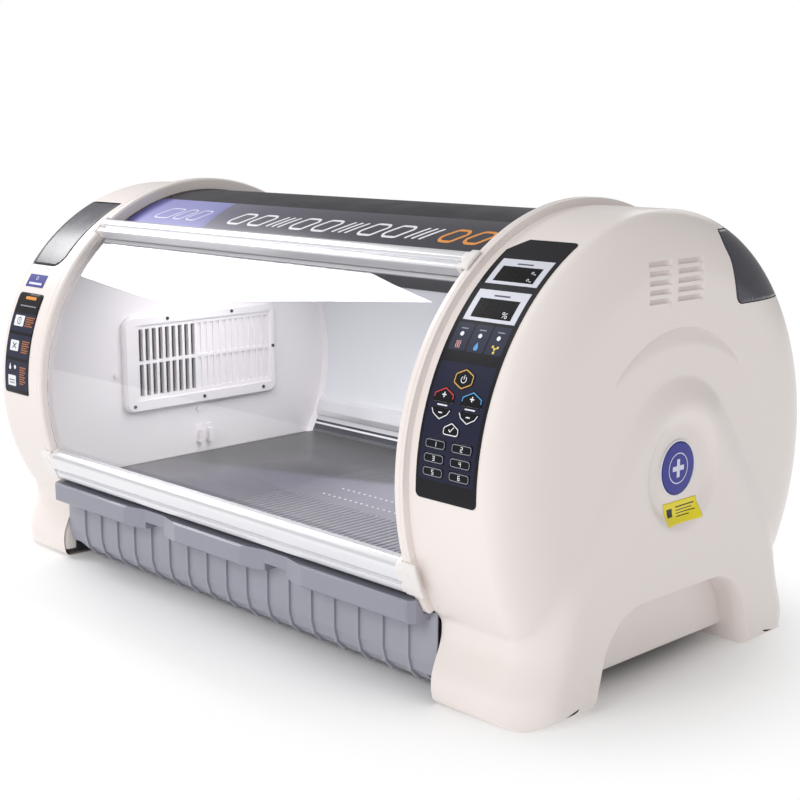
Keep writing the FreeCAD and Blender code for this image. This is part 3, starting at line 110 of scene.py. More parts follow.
def material(name, look):
    # Principled surface: cloudy colour, uneven roughness and a fine bump, all from Object coordinates.
    made = bpy.data.materials.new(name)
    made.use_nodes = True
    tree = made.node_tree
    shader = tree.nodes["Principled BSDF"]
    base = look["colour"]
    shader.inputs["Base Color"].default_value = (*base, 1.0)
    shader.inputs["Roughness"].default_value = look["roughness"]
    for key, socket in socketNames.items():
        if key in look:
            shader.inputs[socket].default_value = look[key]
    place = addNode(tree, "ShaderNodeTexCoord")
    where = place.outputs["Object"]
    if "stretch" in look:
        squeeze = addNode(tree, "ShaderNodeMapping")
        squeeze.inputs["Scale"].default_value = look["stretch"]
        tree.links.new(where, squeeze.inputs["Vector"])
        where = squeeze.outputs["Vector"]
    if look.get("cloud", 0.0) > 0.0:
        cloud = addNode(tree, "ShaderNodeTexNoise", Scale=look.get("cloudScale", 7.0),
                        Detail=look.get("detail", 4.0))
        tree.links.new(where, cloud.inputs["Vector"])
        ramp = addNode(tree, "ShaderNodeValToRGB")
        dark = [c * (1.0 - look["cloud"]) for c in base]
        light = [min(1.0, c * (1.0 + look["cloud"])) for c in base]
        ramp.color_ramp.elements[0].color = (*dark, 1.0)
        ramp.color_ramp.elements[1].color = (*light, 1.0)
        ramp.color_ramp.elements[0].position = 0.3
        ramp.color_ramp.elements[1].position = 0.7
        tree.links.new(cloud.outputs["Fac"], ramp.inputs["Fac"])
        tree.links.new(ramp.outputs["Color"], shader.inputs["Base Color"])
    if look.get("smudge", 0.0) > 0.0:
        smudge = addNode(tree, "ShaderNodeTexNoise", Scale=look.get("smudgeScale", 16.0),
                         Detail=look.get("detail", 6.0))
        tree.links.new(where, smudge.inputs["Vector"])
        spread = addNode(tree, "ShaderNodeMapRange")
        spread.inputs["From Min"].default_value = 0.35
        spread.inputs["From Max"].default_value = 0.65
        spread.inputs["To Min"].default_value = max(0.0, look["roughness"] - look["smudge"])
        spread.inputs["To Max"].default_value = look["roughness"] + look["smudge"]
        tree.links.new(smudge.outputs["Fac"], spread.inputs["Value"])
        tree.links.new(spread.outputs["Result"], shader.inputs["Roughness"])
    if look.get("bump", 0.0) > 0.0:
        if look.get("bumpKind") == "leather":
            pores = addNode(tree, "ShaderNodeTexVoronoi", Scale=look["bumpScale"])
            source = pores.outputs["Distance"]
        else:
            pores = addNode(tree, "ShaderNodeTexNoise", Scale=look["bumpScale"], Detail=3.0)
            source = pores.outputs["Fac"]
        tree.links.new(where, pores.inputs["Vector"])
        bump = addNode(tree, "ShaderNodeBump")
        bump.inputs["Strength"].default_value = look["bump"]
        bump.inputs["Distance"].default_value = look.get("bumpDepth", 0.0004)
        tree.links.new(source, bump.inputs["Height"])
        tree.links.new(bump.outputs["Normal"], shader.inputs["Normal"])
    return made


def clearMaterial(name, look):
    # Clear acrylic that lets lamp light through to what is behind it.
    made = material(name, look)
    tree = made.node_tree
    shader = tree.nodes["Principled BSDF"]
    out = tree.nodes["Material Output"]
    path = addNode(tree, "ShaderNodeLightPath")
    through = addNode(tree, "ShaderNodeBsdfTransparent")
    mix = addNode(tree, "ShaderNodeMixShader")
    tree.links.new(path.outputs["Is Shadow Ray"], mix.inputs["Fac"])
    tree.links.new(shader.outputs["BSDF"], mix.inputs[1])
    tree.links.new(through.outputs["BSDF"], mix.inputs[2])
    tree.links.new(mix.outputs["Shader"], out.inputs["Surface"])
    return made


printLook = dict(roughness=0.3, coat=0.2, coatRoughness=0.15, bump=0.03, bumpScale=1200.0, bumpDepth=0.0001)


def fadeMaterial(name, stops, look=printLook):
    # A colour that changes along X: object X, scaled to 0 to 1 between the first and last stop.
    made = material(name, dict(look, colour=stops[0][1], cloud=0.0))
    tree = made.node_tree
    place = addNode(tree, "ShaderNodeTexCoord")
    axes = addNode(tree, "ShaderNodeSeparateXYZ")
    spread = addNode(tree, "ShaderNodeMapRange")
    spread.inputs["From Min"].default_value = stops[0][0] * mm
    spread.inputs["From Max"].default_value = stops[-1][0] * mm
    ramp = addNode(tree, "ShaderNodeValToRGB")
    while len(ramp.color_ramp.elements) < len(stops):
        ramp.color_ramp.elements.new(0.5)
    for element, (x, colour) in zip(ramp.color_ramp.elements, stops):
        element.position = (x - stops[0][0]) / (stops[-1][0] - stops[0][0])
        element.color = (*colour, 1.0)
    tree.links.new(place.outputs["Object"], axes.inputs["Vector"])
    tree.links.new(axes.outputs["X"], spread.inputs["Value"])
    tree.links.new(spread.outputs["Result"], ramp.inputs["Fac"])
    tree.links.new(ramp.outputs["Color"], tree.nodes["Principled BSDF"].inputs["Base Color"])
    return made


def shadeBehind(made, slope, start, end, share):
    # Painted shade: darkens a surface's colour behind a slanting line; y - slope * x, in millimetres, runs from start
    # to end.
    tree = made.node_tree
    shader = tree.nodes["Principled BSDF"]
    place = addNode(tree, "ShaderNodeTexCoord")
    across = addNode(tree, "ShaderNodeVectorMath", operation="DOT_PRODUCT")
    across.inputs[1].default_value = (-slope, 1.0, 0.0)
    spread = addNode(tree, "ShaderNodeMapRange", interpolation_type="SMOOTHSTEP")
    spread.inputs["From Min"].default_value = start * mm
    spread.inputs["From Max"].default_value = end * mm
    spread.inputs["To Min"].default_value = 1.0
    spread.inputs["To Max"].default_value = share
    scaled = addNode(tree, "ShaderNodeVectorMath", operation="SCALE")
    before = shader.inputs["Base Color"].links[0].from_socket
    tree.links.new(place.outputs["Object"], across.inputs[0])
    tree.links.new(across.outputs["Value"], spread.inputs["Value"])
    tree.links.new(before, scaled.inputs[0])
    tree.links.new(spread.outputs["Result"], scaled.inputs["Scale"])
    tree.links.new(scaled.outputs["Vector"], shader.inputs["Base Color"])


looks = {
    "creamShell": dict(colour=tone(240, 231, 227), roughness=0.3, coat=0.22, coatRoughness=0.14,
                       specular=0.45,
                       cloud=0.004, cloudScale=2.0, smudge=0.006, smudgeScale=3.0, detail=0.0),
    "slatePort": dict(colour=tone(50, 49, 61), roughness=0.26, coat=0.2, coatRoughness=0.12, specular=0.4,
                      cloud=0.03,
                      smudge=0.03, bump=0.015, bumpScale=1200.0, bumpDepth=0.0001),
    "panelFilm": dict(colour=tone(24, 24, 30), roughness=0.5, specular=0.22, cloud=0.04, smudge=0.04,
                      bump=0.03,
                      bumpScale=2500.0, bumpDepth=0.0001),
    "bezelFilm": dict(colour=tone(214, 216, 226), roughness=0.33, cloud=0.02, smudge=0.04),
    "darkWindow": dict(colour=tone(10, 10, 15), roughness=0.25, specular=0.18, cloud=0.1, smudge=0.04),
    "lensWhite": dict(colour=tone(238, 242, 250), roughness=0.2, cloud=0.02, smudge=0.03),
    "keyFilm": dict(colour=tone(14, 14, 20), roughness=0.5, specular=0.22, cloud=0.06, smudge=0.04, bump=0.05,
                    bumpScale=2500.0, bumpDepth=0.0001),
    "hiddenPlastic": dict(colour=tone(48, 48, 52), roughness=0.6, cloud=0.08, smudge=0.05, bump=0.1,
                          bumpScale=600.0),
    "clearSheet": dict(colour=(1.0, 1.0, 1.0), roughness=0.0, transmission=1.0, ior=1.47),
    "brightRail": dict(colour=tone(238, 238, 242), roughness=0.22, metallic=0.45, coat=0.3,
                       coatRoughness=0.1, cloud=0.006,
                       smudge=0.01, smudgeScale=30.0, stretch=(0.1, 4.0, 4.0), bump=0.004, bumpScale=200.0,
                       bumpDepth=0.0001),
    "whitePlug": dict(colour=tone(238, 234, 232), roughness=0.3, cloud=0.02, smudge=0.03),
    "drawerPlastic": dict(colour=tone(160, 160, 171), roughness=0.42, specular=0.45, cloud=0.03, smudge=0.06,
                          bump=0.08, bumpScale=1400.0, bumpDepth=0.0002),
    "lipPlastic": dict(colour=tone(144, 145, 158), roughness=0.33, coat=0.15, cloud=0.03, smudge=0.05,
                       bump=0.04,
                       bumpScale=1400.0, bumpDepth=0.0002),
    "frameSteel": dict(colour=tone(40, 41, 45), roughness=0.5, cloud=0.1, smudge=0.08, bump=0.15,
                       bumpScale=900.0),
    "seal": dict(colour=tone(26, 26, 28), roughness=0.7, cloud=0.1, bump=0.2, bumpScale=700.0),
    "floorMetal": dict(colour=tone(92, 90, 104), roughness=0.42, specular=0.25, coat=0.04, cloud=0.02,
                       smudge=0.02,
                       bump=0.008, bumpScale=900.0, bumpDepth=0.0001),
    "liner": dict(colour=tone(226, 228, 233), roughness=0.3, coat=0.2, cloud=0.006, smudge=0.01,
                  smudgeScale=4.0),
    "wall": dict(colour=tone(241, 237, 240), roughness=0.42, cloud=0.008, smudge=0.02, smudgeScale=5.0,
                 bump=0.02,
                 bumpScale=900.0, bumpDepth=0.0001),
    "coverFilm": dict(colour=tone(31, 30, 40), roughness=0.42, specular=0.35, cloud=0.06, smudge=0.04,
                      bump=0.5,
                      bumpScale=330.0, bumpDepth=0.0006, bumpKind="leather"),
    "rearPlastic": dict(colour=tone(236, 231, 228), roughness=0.34, cloud=0.015, smudge=0.04, bump=0.08,
                        bumpScale=900.0, bumpDepth=0.0002),
    "inletBlack": dict(colour=tone(20, 20, 22), roughness=0.5, specular=0.3, cloud=0.08, smudge=0.05,
                       bump=0.1,
                       bumpScale=900.0),
    "steel": dict(colour=tone(196, 197, 200), roughness=0.25, metallic=1.0, cloud=0.04, smudge=0.08),
    "heaterMetal": dict(colour=tone(170, 171, 174), roughness=0.4, metallic=1.0, cloud=0.05, smudge=0.1),
    "badgeBlue": dict(colour=tone(50, 50, 150), roughness=0.25, specular=0.3, coat=0.12, coatRoughness=0.1,
                      cloud=0.03,
                      smudge=0.03),
    "labelYellow": dict(colour=tone(244, 226, 44), roughness=0.4, cloud=0.02, smudge=0.05),
    "stripBlack": dict(colour=tone(20, 20, 24), roughness=0.45, specular=0.25, cloud=0.08, smudge=0.05),
    "labelBlue": dict(colour=tone(52, 58, 140), roughness=0.35, cloud=0.05, smudge=0.05),
    "tank": dict(colour=tone(232, 238, 242), roughness=0.35, cloud=0.03, smudge=0.05),
    "printWhite": dict(colour=tone(235, 236, 240), roughness=0.45, cloud=0.02, smudge=0.05),
    "printGrey": dict(colour=tone(140, 144, 158), roughness=0.45, cloud=0.03, smudge=0.05),
    "printTile": dict(colour=tone(44, 47, 66), roughness=0.5, specular=0.22, cloud=0.05, smudge=0.05),
    "printBlack": dict(colour=tone(14, 14, 18), roughness=0.36, cloud=0.08, smudge=0.05),
    "printGold": dict(colour=tone(214, 168, 92), roughness=0.4, cloud=0.05, smudge=0.05),
    "printRed": dict(colour=tone(206, 62, 66), roughness=0.4, cloud=0.04, smudge=0.05),
    "printBlue": dict(colour=tone(84, 158, 214), roughness=0.4, cloud=0.04, smudge=0.05),
    "printYellow": dict(colour=tone(226, 204, 84), roughness=0.4, cloud=0.04, smudge=0.05),
    "printSlate": dict(colour=tone(72, 70, 88), roughness=0.36, coat=0.15, cloud=0.04, cloudScale=2.0,
                       smudge=0.05),
    "dotMetal": dict(colour=tone(214, 214, 222), roughness=0.3, metallic=0.3, cloud=0.02, smudge=0.04),
    "linerDark": dict(colour=tone(44, 44, 56), roughness=0.24, coat=0.3, coatRoughness=0.08, cloud=0.04,
                      smudge=0.04),
    "bandMetal": dict(colour=tone(206, 204, 210), roughness=0.34, metallic=0.1, cloud=0.01, smudge=0.02),
    "bandLight": dict(colour=tone(252, 250, 254), roughness=0.34, metallic=0.05, cloud=0.01, smudge=0.02),
    "printNavy": dict(colour=tone(33, 35, 56), roughness=0.5, specular=0.22, cloud=0.04, smudge=0.04),
    "printRose": dict(colour=tone(224, 160, 162), roughness=0.4, cloud=0.03, smudge=0.04),
    "printRust": dict(colour=tone(176, 108, 56), roughness=0.42, cloud=0.04, smudge=0.04),
    "printPale": dict(colour=tone(222, 222, 244), roughness=0.36, cloud=0.02, smudge=0.04),
    "printGhost": dict(colour=tone(30, 21, 21), roughness=0.4, specular=0.1, cloud=0.05, smudge=0.03),
    "badgeDeep": dict(colour=tone(24, 24, 108), roughness=0.25, specular=0.3, coat=0.12, coatRoughness=0.1,
                      cloud=0.03,
                      smudge=0.03),
    "printOrange": dict(colour=tone(232, 150, 62), roughness=0.4, cloud=0.04, smudge=0.05),
}
finishes = {name: material(name, look) for name, look in looks.items() if name != "clearSheet"}
finishes["clearSheet"] = clearMaterial("clearSheet", looks["clearSheet"])
fades = {
    # Colours along X, in millimetres, for the printed band of the cover
    "coverBlue": ((-447.0, tone(30, 26, 112)), (-424.0, tone(46, 44, 142)), (-404.0, tone(144, 144, 206)),
                  (-300.0, tone(142, 144, 202)), (-236.0, tone(132, 134, 194)),
                  (-209.0, tone(108, 108, 162))),
    "coverSlate": ((-230.0, tone(106, 104, 124)), (-120.0, tone(76, 74, 92)), (120.0, tone(50, 48, 64)),
                   (440.0, tone(38, 37, 50))),
}
for name, stops in fades.items():
    finishes[name] = fadeMaterial(name, stops)
# The floor sheet's colour, lighter towards the right: a painted sheen.
plateSheenStops = ((-450.0, tone(74, 71, 86)), (-160.0, tone(80, 77, 92)), (0.0, tone(118, 117, 128)),
              (450.0, tone(140, 139, 150)))
finishes["floorPlatePaintedLight"] = fadeMaterial("floorPlatePaintedLight", plateSheenStops, looks["floorMetal"])
# Painted shade over the rear part of the floor sheet, behind a slanting line.
shadeBehind(finishes["floorPlatePaintedLight"], 0.378, 70.0, 108.0, 0.32)

slotLook = {
    "cream_plastic": "creamShell", "slate_plastic": "slatePort", "panel_film": "panelFilm",
    "bezel_film": "bezelFilm",
    "dark_window": "darkWindow", "lens": "lensWhite", "key_film": "keyFilm",
    "hidden_plastic": "hiddenPlastic",
    "clear_sheet": "clearSheet", "bright_rail": "brightRail", "white_plug": "whitePlug",
    "drawer_plastic": "drawerPlastic", "lip_plastic": "lipPlastic", "frame_steel": "frameSteel",
    "seal": "seal",
    "floor_metal": "floorMetal", "liner": "liner", "wall": "wall", "cover_film": "coverFilm",
    "rear_plastic": "rearPlastic", "inlet": "inletBlack", "steel": "steel", "heater_metal": "heaterMetal",
    "badge_blue": "badgeBlue", "label_yellow": "labelYellow", "strip_black": "stripBlack",
    "label_blue": "labelBlue",
    "tank": "tank",
}
for part in frame["record"]["subparts"]:
    holder = nodes[part["node"]]
    holder.data.materials.clear()
    holder.data.materials.append(finishes[slotLook[part["material_slot"]]])
print("materials ready")


# Mesh helpers

def gridFaces(rows, columns):
    # Quads of a rows x columns sheet of points, row after row.
    first = np.arange(rows - 1)[:, None] * columns + np.arange(columns - 1)[None, :]
    first = first.ravel()
    return np.stack([first, first + 1, first + columns + 1, first + columns], 1)


def addPiece(name, points, faces, finish, body, thickness=0.0, outFrom=None):
    # Points in millimetres; faces all of one length, or a list of such arrays. The wall grows inwards.
    groups = faces if isinstance(faces, list) else [faces]
    mesh = bpy.data.meshes.new(name)
    mesh.from_pydata((np.asarray(points) * mm).tolist(), [], [f for g in groups for f in g.tolist()])
    work = bmesh.new()
    work.from_mesh(mesh)
    bmesh.ops.remove_doubles(work, verts=work.verts, dist=0.00002)
    bmesh.ops.dissolve_degenerate(work, edges=work.edges, dist=0.000001)
    bmesh.ops.recalc_face_normals(work, faces=work.faces)
    if outFrom is not None:
        centre = Vector(outFrom) * mm
        turn = sum(f.normal.dot(f.calc_center_median() - centre) * f.calc_area() for f in work.faces)
        if turn < 0.0:
            bmesh.ops.reverse_faces(work, faces=work.faces)
    work.to_mesh(mesh)
    work.free()
    mesh.materials.append(finishes[finish])
    mesh.shade_smooth()
    piece = bpy.data.objects.new(name, mesh)
    bpy.context.scene.collection.objects.link(piece)
    if thickness > 0.0:
        wall = piece.modifiers.new("wall", "SOLIDIFY")
        wall.thickness = thickness * mm
        wall.offset = -1.0
        wall.use_even_offset = False
    sharpen(mesh, 40.0)
    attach(piece, body)
    return piece


def sharpen(mesh, degrees):
    # Edges whose faces meet at more than the given degrees stay sharp.
    mesh.set_sharp_from_angle(angle=math.radians(degrees))


def insideLoop(points, loop):
    # Even-odd test of many points against one closed outline.
    x, y = points[:, 0], points[:, 1]
    hit = np.zeros(len(points), bool)
    for (x0, y0), (x1, y1) in zip(loop, np.roll(loop, -1, axis=0)):
        if y0 == y1:
            continue
        crosses = (y0 > y) != (y1 > y)
        hit ^= crosses & (x < (x1 - x0) * (y - y0) / (y1 - y0) + x0)
    return hit


def triangulate(outer, holes, lines, inner, clear):
    # Triangles between a closed outline and its holes, kept to the given lines, with free points inside.
    fixed, edges, start = [], [], 0
    for loop in [outer] + holes:
        count = len(loop)
        fixed.append(loop)
        edges += [(start + i, start + (i + 1) % count) for i in range(count)]
        start += count
    for line in lines:
        count = len(line)
        fixed.append(line)
        edges += [(start + i, start + i + 1) for i in range(count - 1)]
        start += count
    fixed = np.vstack(fixed)
    inner = inner[insideLoop(inner, outer)]
    for loop in holes:
        inner = inner[~insideLoop(inner, loop)]
    far = np.ones(len(inner), bool)
    for index in range(0, len(inner), 2000):
        gap = inner[index:index + 2000, None, :] - fixed[None, :, :]
        far[index:index + 2000] = (gap ** 2).sum(2).min(1) > clear ** 2
    every = np.vstack([fixed, inner[far]])
    made = delaunay_2d_cdt([Vector(p) for p in every.tolist()], edges, [], 0, 0.00001)
    points = np.array([(p.x, p.y) for p in made[0]])
    faces = np.array([f for f in made[2] if len(f) == 3])
    middle = points[faces].mean(1)
    keep = insideLoop(middle, outer)
    for loop in holes:
        keep &= ~insideLoop(middle, loop)
    return points, faces[keep]


def rounded(corners, step=4.0):
    # A closed outline through (x, y, radius) corners, with arcs, its straight runs cut to short steps.
    count = len(corners)
    spots = []
    for index, (x, y, radius) in enumerate(corners):
        here = np.array([x, y], float)
        before = np.array(corners[index - 1][:2], float) - here
        after = np.array(corners[(index + 1) % count][:2], float) - here
        before /= np.linalg.norm(before)
        after /= np.linalg.norm(after)
        half = math.acos(np.clip(before @ after, -1.0, 1.0)) / 2.0
        if radius <= 0.0 or half > math.pi / 2.0 - 0.01:
            spots.append(here)
            continue
        reach = radius / math.tan(half)
        middle = (before + after) / np.linalg.norm(before + after)
        centre = here + middle * radius / math.sin(half)
        turns = max(3, int((math.pi - 2.0 * half) * radius / step) + 2)
        first = here + before * reach - centre
        last = here + after * reach - centre
        a0 = math.atan2(first[1], first[0])
        sweep = (math.atan2(last[1], last[0]) - a0 + math.pi) % (2.0 * math.pi) - math.pi
        for angle in np.linspace(a0, a0 + sweep, turns):
            spots.append(centre + radius * np.array([math.cos(angle), math.sin(angle)]))
    return cutShort(np.array(spots), step, True)


def cutShort(points, step, closed):
    # The same line with points no further apart than step.
    ends = np.roll(points, -1, axis=0) if closed else points[1:]
    made = []
    for start, end in zip(points, ends):
        parts = max(1, int(math.ceil(np.linalg.norm(end - start) / step)))
        made.append(start + (end - start) * np.arange(parts)[:, None] / parts)
    if not closed:
        made.append(points[-1:])
    return np.vstack(made)


# End caps

cap = {
    "bodyRadius": 355.0,       # the drum behind the flange
    "endX": 640.0,             # flat end of the drum, before the raised frame
    "cornerAxial": 44.0,       # the drum's corner, a quarter ellipse
    "cornerRadial": 95.0,
    "flangeWidth": 18.0,
    "footInner": 474.0,
    "footNeck": 298.0,
    "footBulge": 319.0,
    "neckZ": 104.0,
    "bulgeZ": 34.0,
    "shoulderZ": 131.0,
    "footCorner": 70.0,        # plan rounding of a foot's outer corner
    "soleRound": 12.0,
    "archHalf": 180.0,
    "archTopHalf": 146.0,
    "archRound": 84.0,
    "archZ": 127.0,
    "archEdge": 9.0,
    "recessX": 606.0,
    "recessZ": 30.0,
}
relief = {
    "ridgeRadius": 128.0,
    "ridgeZ": 305.0,
    "legAngle": 35.0,
    "ridgeWidth": 44.0,
    "dishRadius": 88.0,
    "dishFloor": 62.0,
    "dishDepth": 10.0,
    "crescentRadius": 196.0,
    "crescentInner": 258.0,
    "crescentInnerZ": 225.0,
    "crescentDepth": 5.0,
    "crescentSpan": (38.0, 142.0),
}
frameRise = faceX - cap["endX"]


def ridgeDistance(y, z):
    # How far inside the outline of the raised A frame a point lies: a round head over two spread legs.
    lean = math.radians(relief["legAngle"])
    across = np.abs(y)
    up = z - relief["ridgeZ"]
    beside = across * math.cos(lean) + up * math.sin(lean)
    head = np.hypot(across, up)
    along = up * math.cos(lean) - across * math.sin(lean)
    return relief["ridgeRadius"] - np.where(along > 0.0, head, beside)


def softStep(value, low, high):
    # Smooth step: t squared times three less twice t, t running from 0 at low to 1 at high.
    t = np.clip((value - low) / (high - low), 0.0, 1.0)
    return t * t * (3.0 - 2.0 * t)


def capRelief(y, z):
    # Height over the drum's flat end: the A frame rises with a long round edge, the dish and crescent sink.
    inside = ridgeDistance(y, z)
    t = np.clip((inside + 5.0) / relief["ridgeWidth"], 0.0, 1.0)
    lift = np.sin(t * math.pi / 2.0) ** 1.25
    height = frameRise * lift
    fromDish = np.hypot(y, z - (relief["ridgeZ"] + 1.0))
    sink = 1.0 - softStep(fromDish, relief["dishFloor"], relief["dishRadius"])
    height = height - relief["dishDepth"] * sink
    outer = relief["crescentRadius"] - np.hypot(y, z - axisZ)
    inner = np.hypot(y, z - relief["crescentInnerZ"]) - relief["crescentInner"]
    moon = (outer > 0.0) & (inner > 0.0)
    height = height - np.where(moon, relief["crescentDepth"] * inner / 24.0, 0.0)
    return height


def capEdge():
    # The outline of one half of a cap's end, from the top down to the foot, along its sole and up the arch:
    # points, inner ring, axial rounding and where the side wall starts, each against the distance walked.
    radius = cap["bodyRadius"]
    low = math.asin((cap["shoulderZ"] - axisZ) / radius)
    turn = np.linspace(math.pi / 2.0, low, 130)
    drum = np.stack([radius * np.cos(turn), axisZ + radius * np.sin(turn)], 1)
    drumIn = drum - cap["cornerRadial"] * np.stack([np.cos(turn), np.sin(turn)], 1)
    z = np.linspace(cap["shoulderZ"] - 4.0, cap["soleRound"] + solesZ, 28)
    neck = cap["footNeck"] + (drum[-1, 0] - cap["footNeck"]) * softStep(z, cap["shoulderZ"] - 12.0,
            cap["shoulderZ"] + 1.0)
    swell = (cap["footBulge"] - cap["footNeck"]) * (1.0 - softStep(z, cap["bulgeZ"], cap["neckZ"]))
    tuck = 7.0 * (1.0 - softStep(z, solesZ - 6.0, cap["bulgeZ"])) ** 2
    side = np.stack([neck + swell - tuck, z], 1)
    blend = softStep(z, 60.0, cap["shoulderZ"])[:, None]
    sideIn = side + blend * (drumIn[-1] - drum[-1]) + (1.0 - blend) * np.array([-cap["footCorner"], 0.0])
    round0 = cap["soleRound"]
    bend = np.linspace(0.0, math.pi / 2.0, 8)[1:]
    centre = side[-1] - np.array([round0, 0.0])
    corner = centre + round0 * np.stack([np.cos(bend), -np.sin(bend)], 1)
    cornerIn = np.stack([np.linspace(sideIn[-1, 0], sideIn[-1, 0] - 6.0, 7),
                         np.linspace(sideIn[-1, 1], 15.0, 7)], 1)
    soleEnd = cap["archHalf"] + 5.0
    y = np.linspace(corner[-1, 0], soleEnd, 20)[1:]
    sole = np.stack([y, np.full(19, solesZ)], 1)
    soleIn = np.stack([np.linspace(cornerIn[-1, 0], cap["archHalf"] + 12.0, 20)[1:], np.full(19, 15.0)], 1)
    slope = (cap["archHalf"] - cap["archTopHalf"]) / (cap["archZ"] + 5.0)
    archLow = cap["archHalf"] - slope * (solesZ + 5.0 + 5.0)
    corners = [(archLow, solesZ + 5.0, 0.0), (cap["archTopHalf"], cap["archZ"], cap["archRound"]),
               (0.0, cap["archZ"], 0.0),
               (0.0, solesZ + 5.0, 0.0)]
    loop = rounded(corners, 5.0)
    stop = int(np.argmin(np.abs(loop[:, 0]) + np.abs(loop[:, 1] - cap["archZ"])))
    arch = loop[:stop + 1]
    along = np.gradient(arch, axis=0)
    along /= np.linalg.norm(along, axis=1)[:, None]
    outwards = np.stack([along[:, 1], -along[:, 0]], 1)
    archIn = arch + cap["archEdge"] * outwards
    archIn[0] = (cap["archHalf"] + 9.0, 17.0)
    archIn[1, 1] = max(archIn[1, 1], 21.0)
    edge = np.vstack([drum, side, corner, sole, arch])
    ring = np.vstack([drumIn, sideIn, cornerIn, soleIn, archIn])
    count = [len(drum), len(side), len(corner), len(sole), len(arch)]
    footAxial = cap["footCorner"] - 4.0
    axial = np.concatenate([
        np.full(count[0], cap["cornerAxial"]),
        cap["cornerAxial"] + (footAxial - cap["cornerAxial"]) * (1.0 - blend[:, 0]),
        np.linspace(footAxial, 24.0, count[2]),
        np.linspace(22.0, 12.0, count[3]),
        np.full(count[4], cap["archEdge"]),
    ])
    start = np.concatenate([
        np.full(count[0], halfGap + cap["flangeWidth"]),
        np.full(sum(count[1:]), cap["footInner"]),
    ])
    start[count[0]:count[0] + 4] = np.linspace(halfGap + cap["flangeWidth"], cap["footInner"], 4)
    more = np.zeros_like(edge)
    more[:count[0]] = -35.0 * np.stack([np.cos(turn), np.sin(turn)], 1)
    fade = blend[:, 0:1]
    more[count[0]:count[0] + count[1]] = fade * more[count[0] - 1] + (1.0 - fade) * np.array([-8.0, 0.0])
    rest = edge[sum(count[:2]):]
    more[sum(count[:2]):] = 0.35 * (ring[sum(count[:2]):] - rest)
    walked = np.concatenate([[0.0], np.cumsum(np.linalg.norm(np.diff(edge, axis=0), axis=1))])
    walked[:count[0]] = radius * (math.pi / 2.0 - turn)
    walked[count[0]:] += walked[count[0] - 1] - (walked[count[0]] - np.linalg.norm(edge[count[0]] - edge[count[0] - 1]))
    return dict(walked=walked, edge=edge, ring=ring, axial=axial, start=start, more=more,
                drumEnd=walked[count[0] - 1])


edgeTable = capEdge()
wallWay = 128.0
bandWay = 112.0
flatWay = 35.0
skinWay = wallWay + bandWay + flatWay


def skinPoint(u, w):
    # u runs round the outline from the top, w across the wall, over the corner and onto the end.
    side = np.where(u < 0.0, -1.0, 1.0)
    t = np.abs(u)
    table = edgeTable
    drum = t <= table["drumEnd"]
    angle = t / cap["bodyRadius"]
    pick = lambda column: np.interp(t, table["walked"], column)
    ey = np.where(drum, cap["bodyRadius"] * np.sin(angle), pick(table["edge"][:, 0]))
    ez = np.where(drum, axisZ + cap["bodyRadius"] * np.cos(angle), pick(table["edge"][:, 1]))
    vy = np.where(drum, -cap["cornerRadial"] * np.sin(angle), pick(table["ring"][:, 0] - table["edge"][:, 0]))
    vz = np.where(drum, -cap["cornerRadial"] * np.cos(angle), pick(table["ring"][:, 1] - table["edge"][:, 1]))
    fy = np.where(drum, -flatWay * np.sin(angle), pick(table["more"][:, 0]))
    fz = np.where(drum, -flatWay * np.cos(angle), pick(table["more"][:, 1]))
    axial = pick(table["axial"])
    start = pick(table["start"])
    wall = np.clip(w / wallWay, 0.0, 1.0)
    phi = np.clip((w - wallWay) / bandWay, 0.0, 1.0) * math.pi / 2.0
    flat = np.clip((w - wallWay - bandWay) / flatWay, 0.0, 1.0)
    y = ey + vy * (1.0 - np.cos(phi)) + fy * flat
    z = ez + vz * (1.0 - np.cos(phi)) + fz * flat
    x = start + (cap["endX"] - axial - start) * wall + axial * np.sin(phi)
    x = x + capRelief(y, z) * np.sin(phi) ** 2
    return np.stack([x, side * y, z], -1)


def endToSkin(y, z):
    # The (u, w) place of a point of the end view, on the drum.
    radius = np.hypot(y, z - axisZ)
    u = cap["bodyRadius"] * np.arctan2(y, z - axisZ)
    sink = np.clip((cap["bodyRadius"] - radius) / cap["cornerRadial"], 0.0, 1.0)
    phi = np.arccos(1.0 - sink)
    flat = np.clip(cap["bodyRadius"] - cap["cornerRadial"] - radius, 0.0, None)
    return np.stack([u, wallWay + phi / (math.pi / 2.0) * bandWay + flat], -1)


port = {
    "outline": [(102.46, 634.0, 1.0), (102.46, 617.35, 49.0), (118.0, 590.0, 60.0), (131.0, 526.0, 16.0)],
    "topZ": 634.0,
    "lowZ": 526.0,
    "inboardX": 505.0,
    "corner": 27.0,
    "gap": 1.4,
}


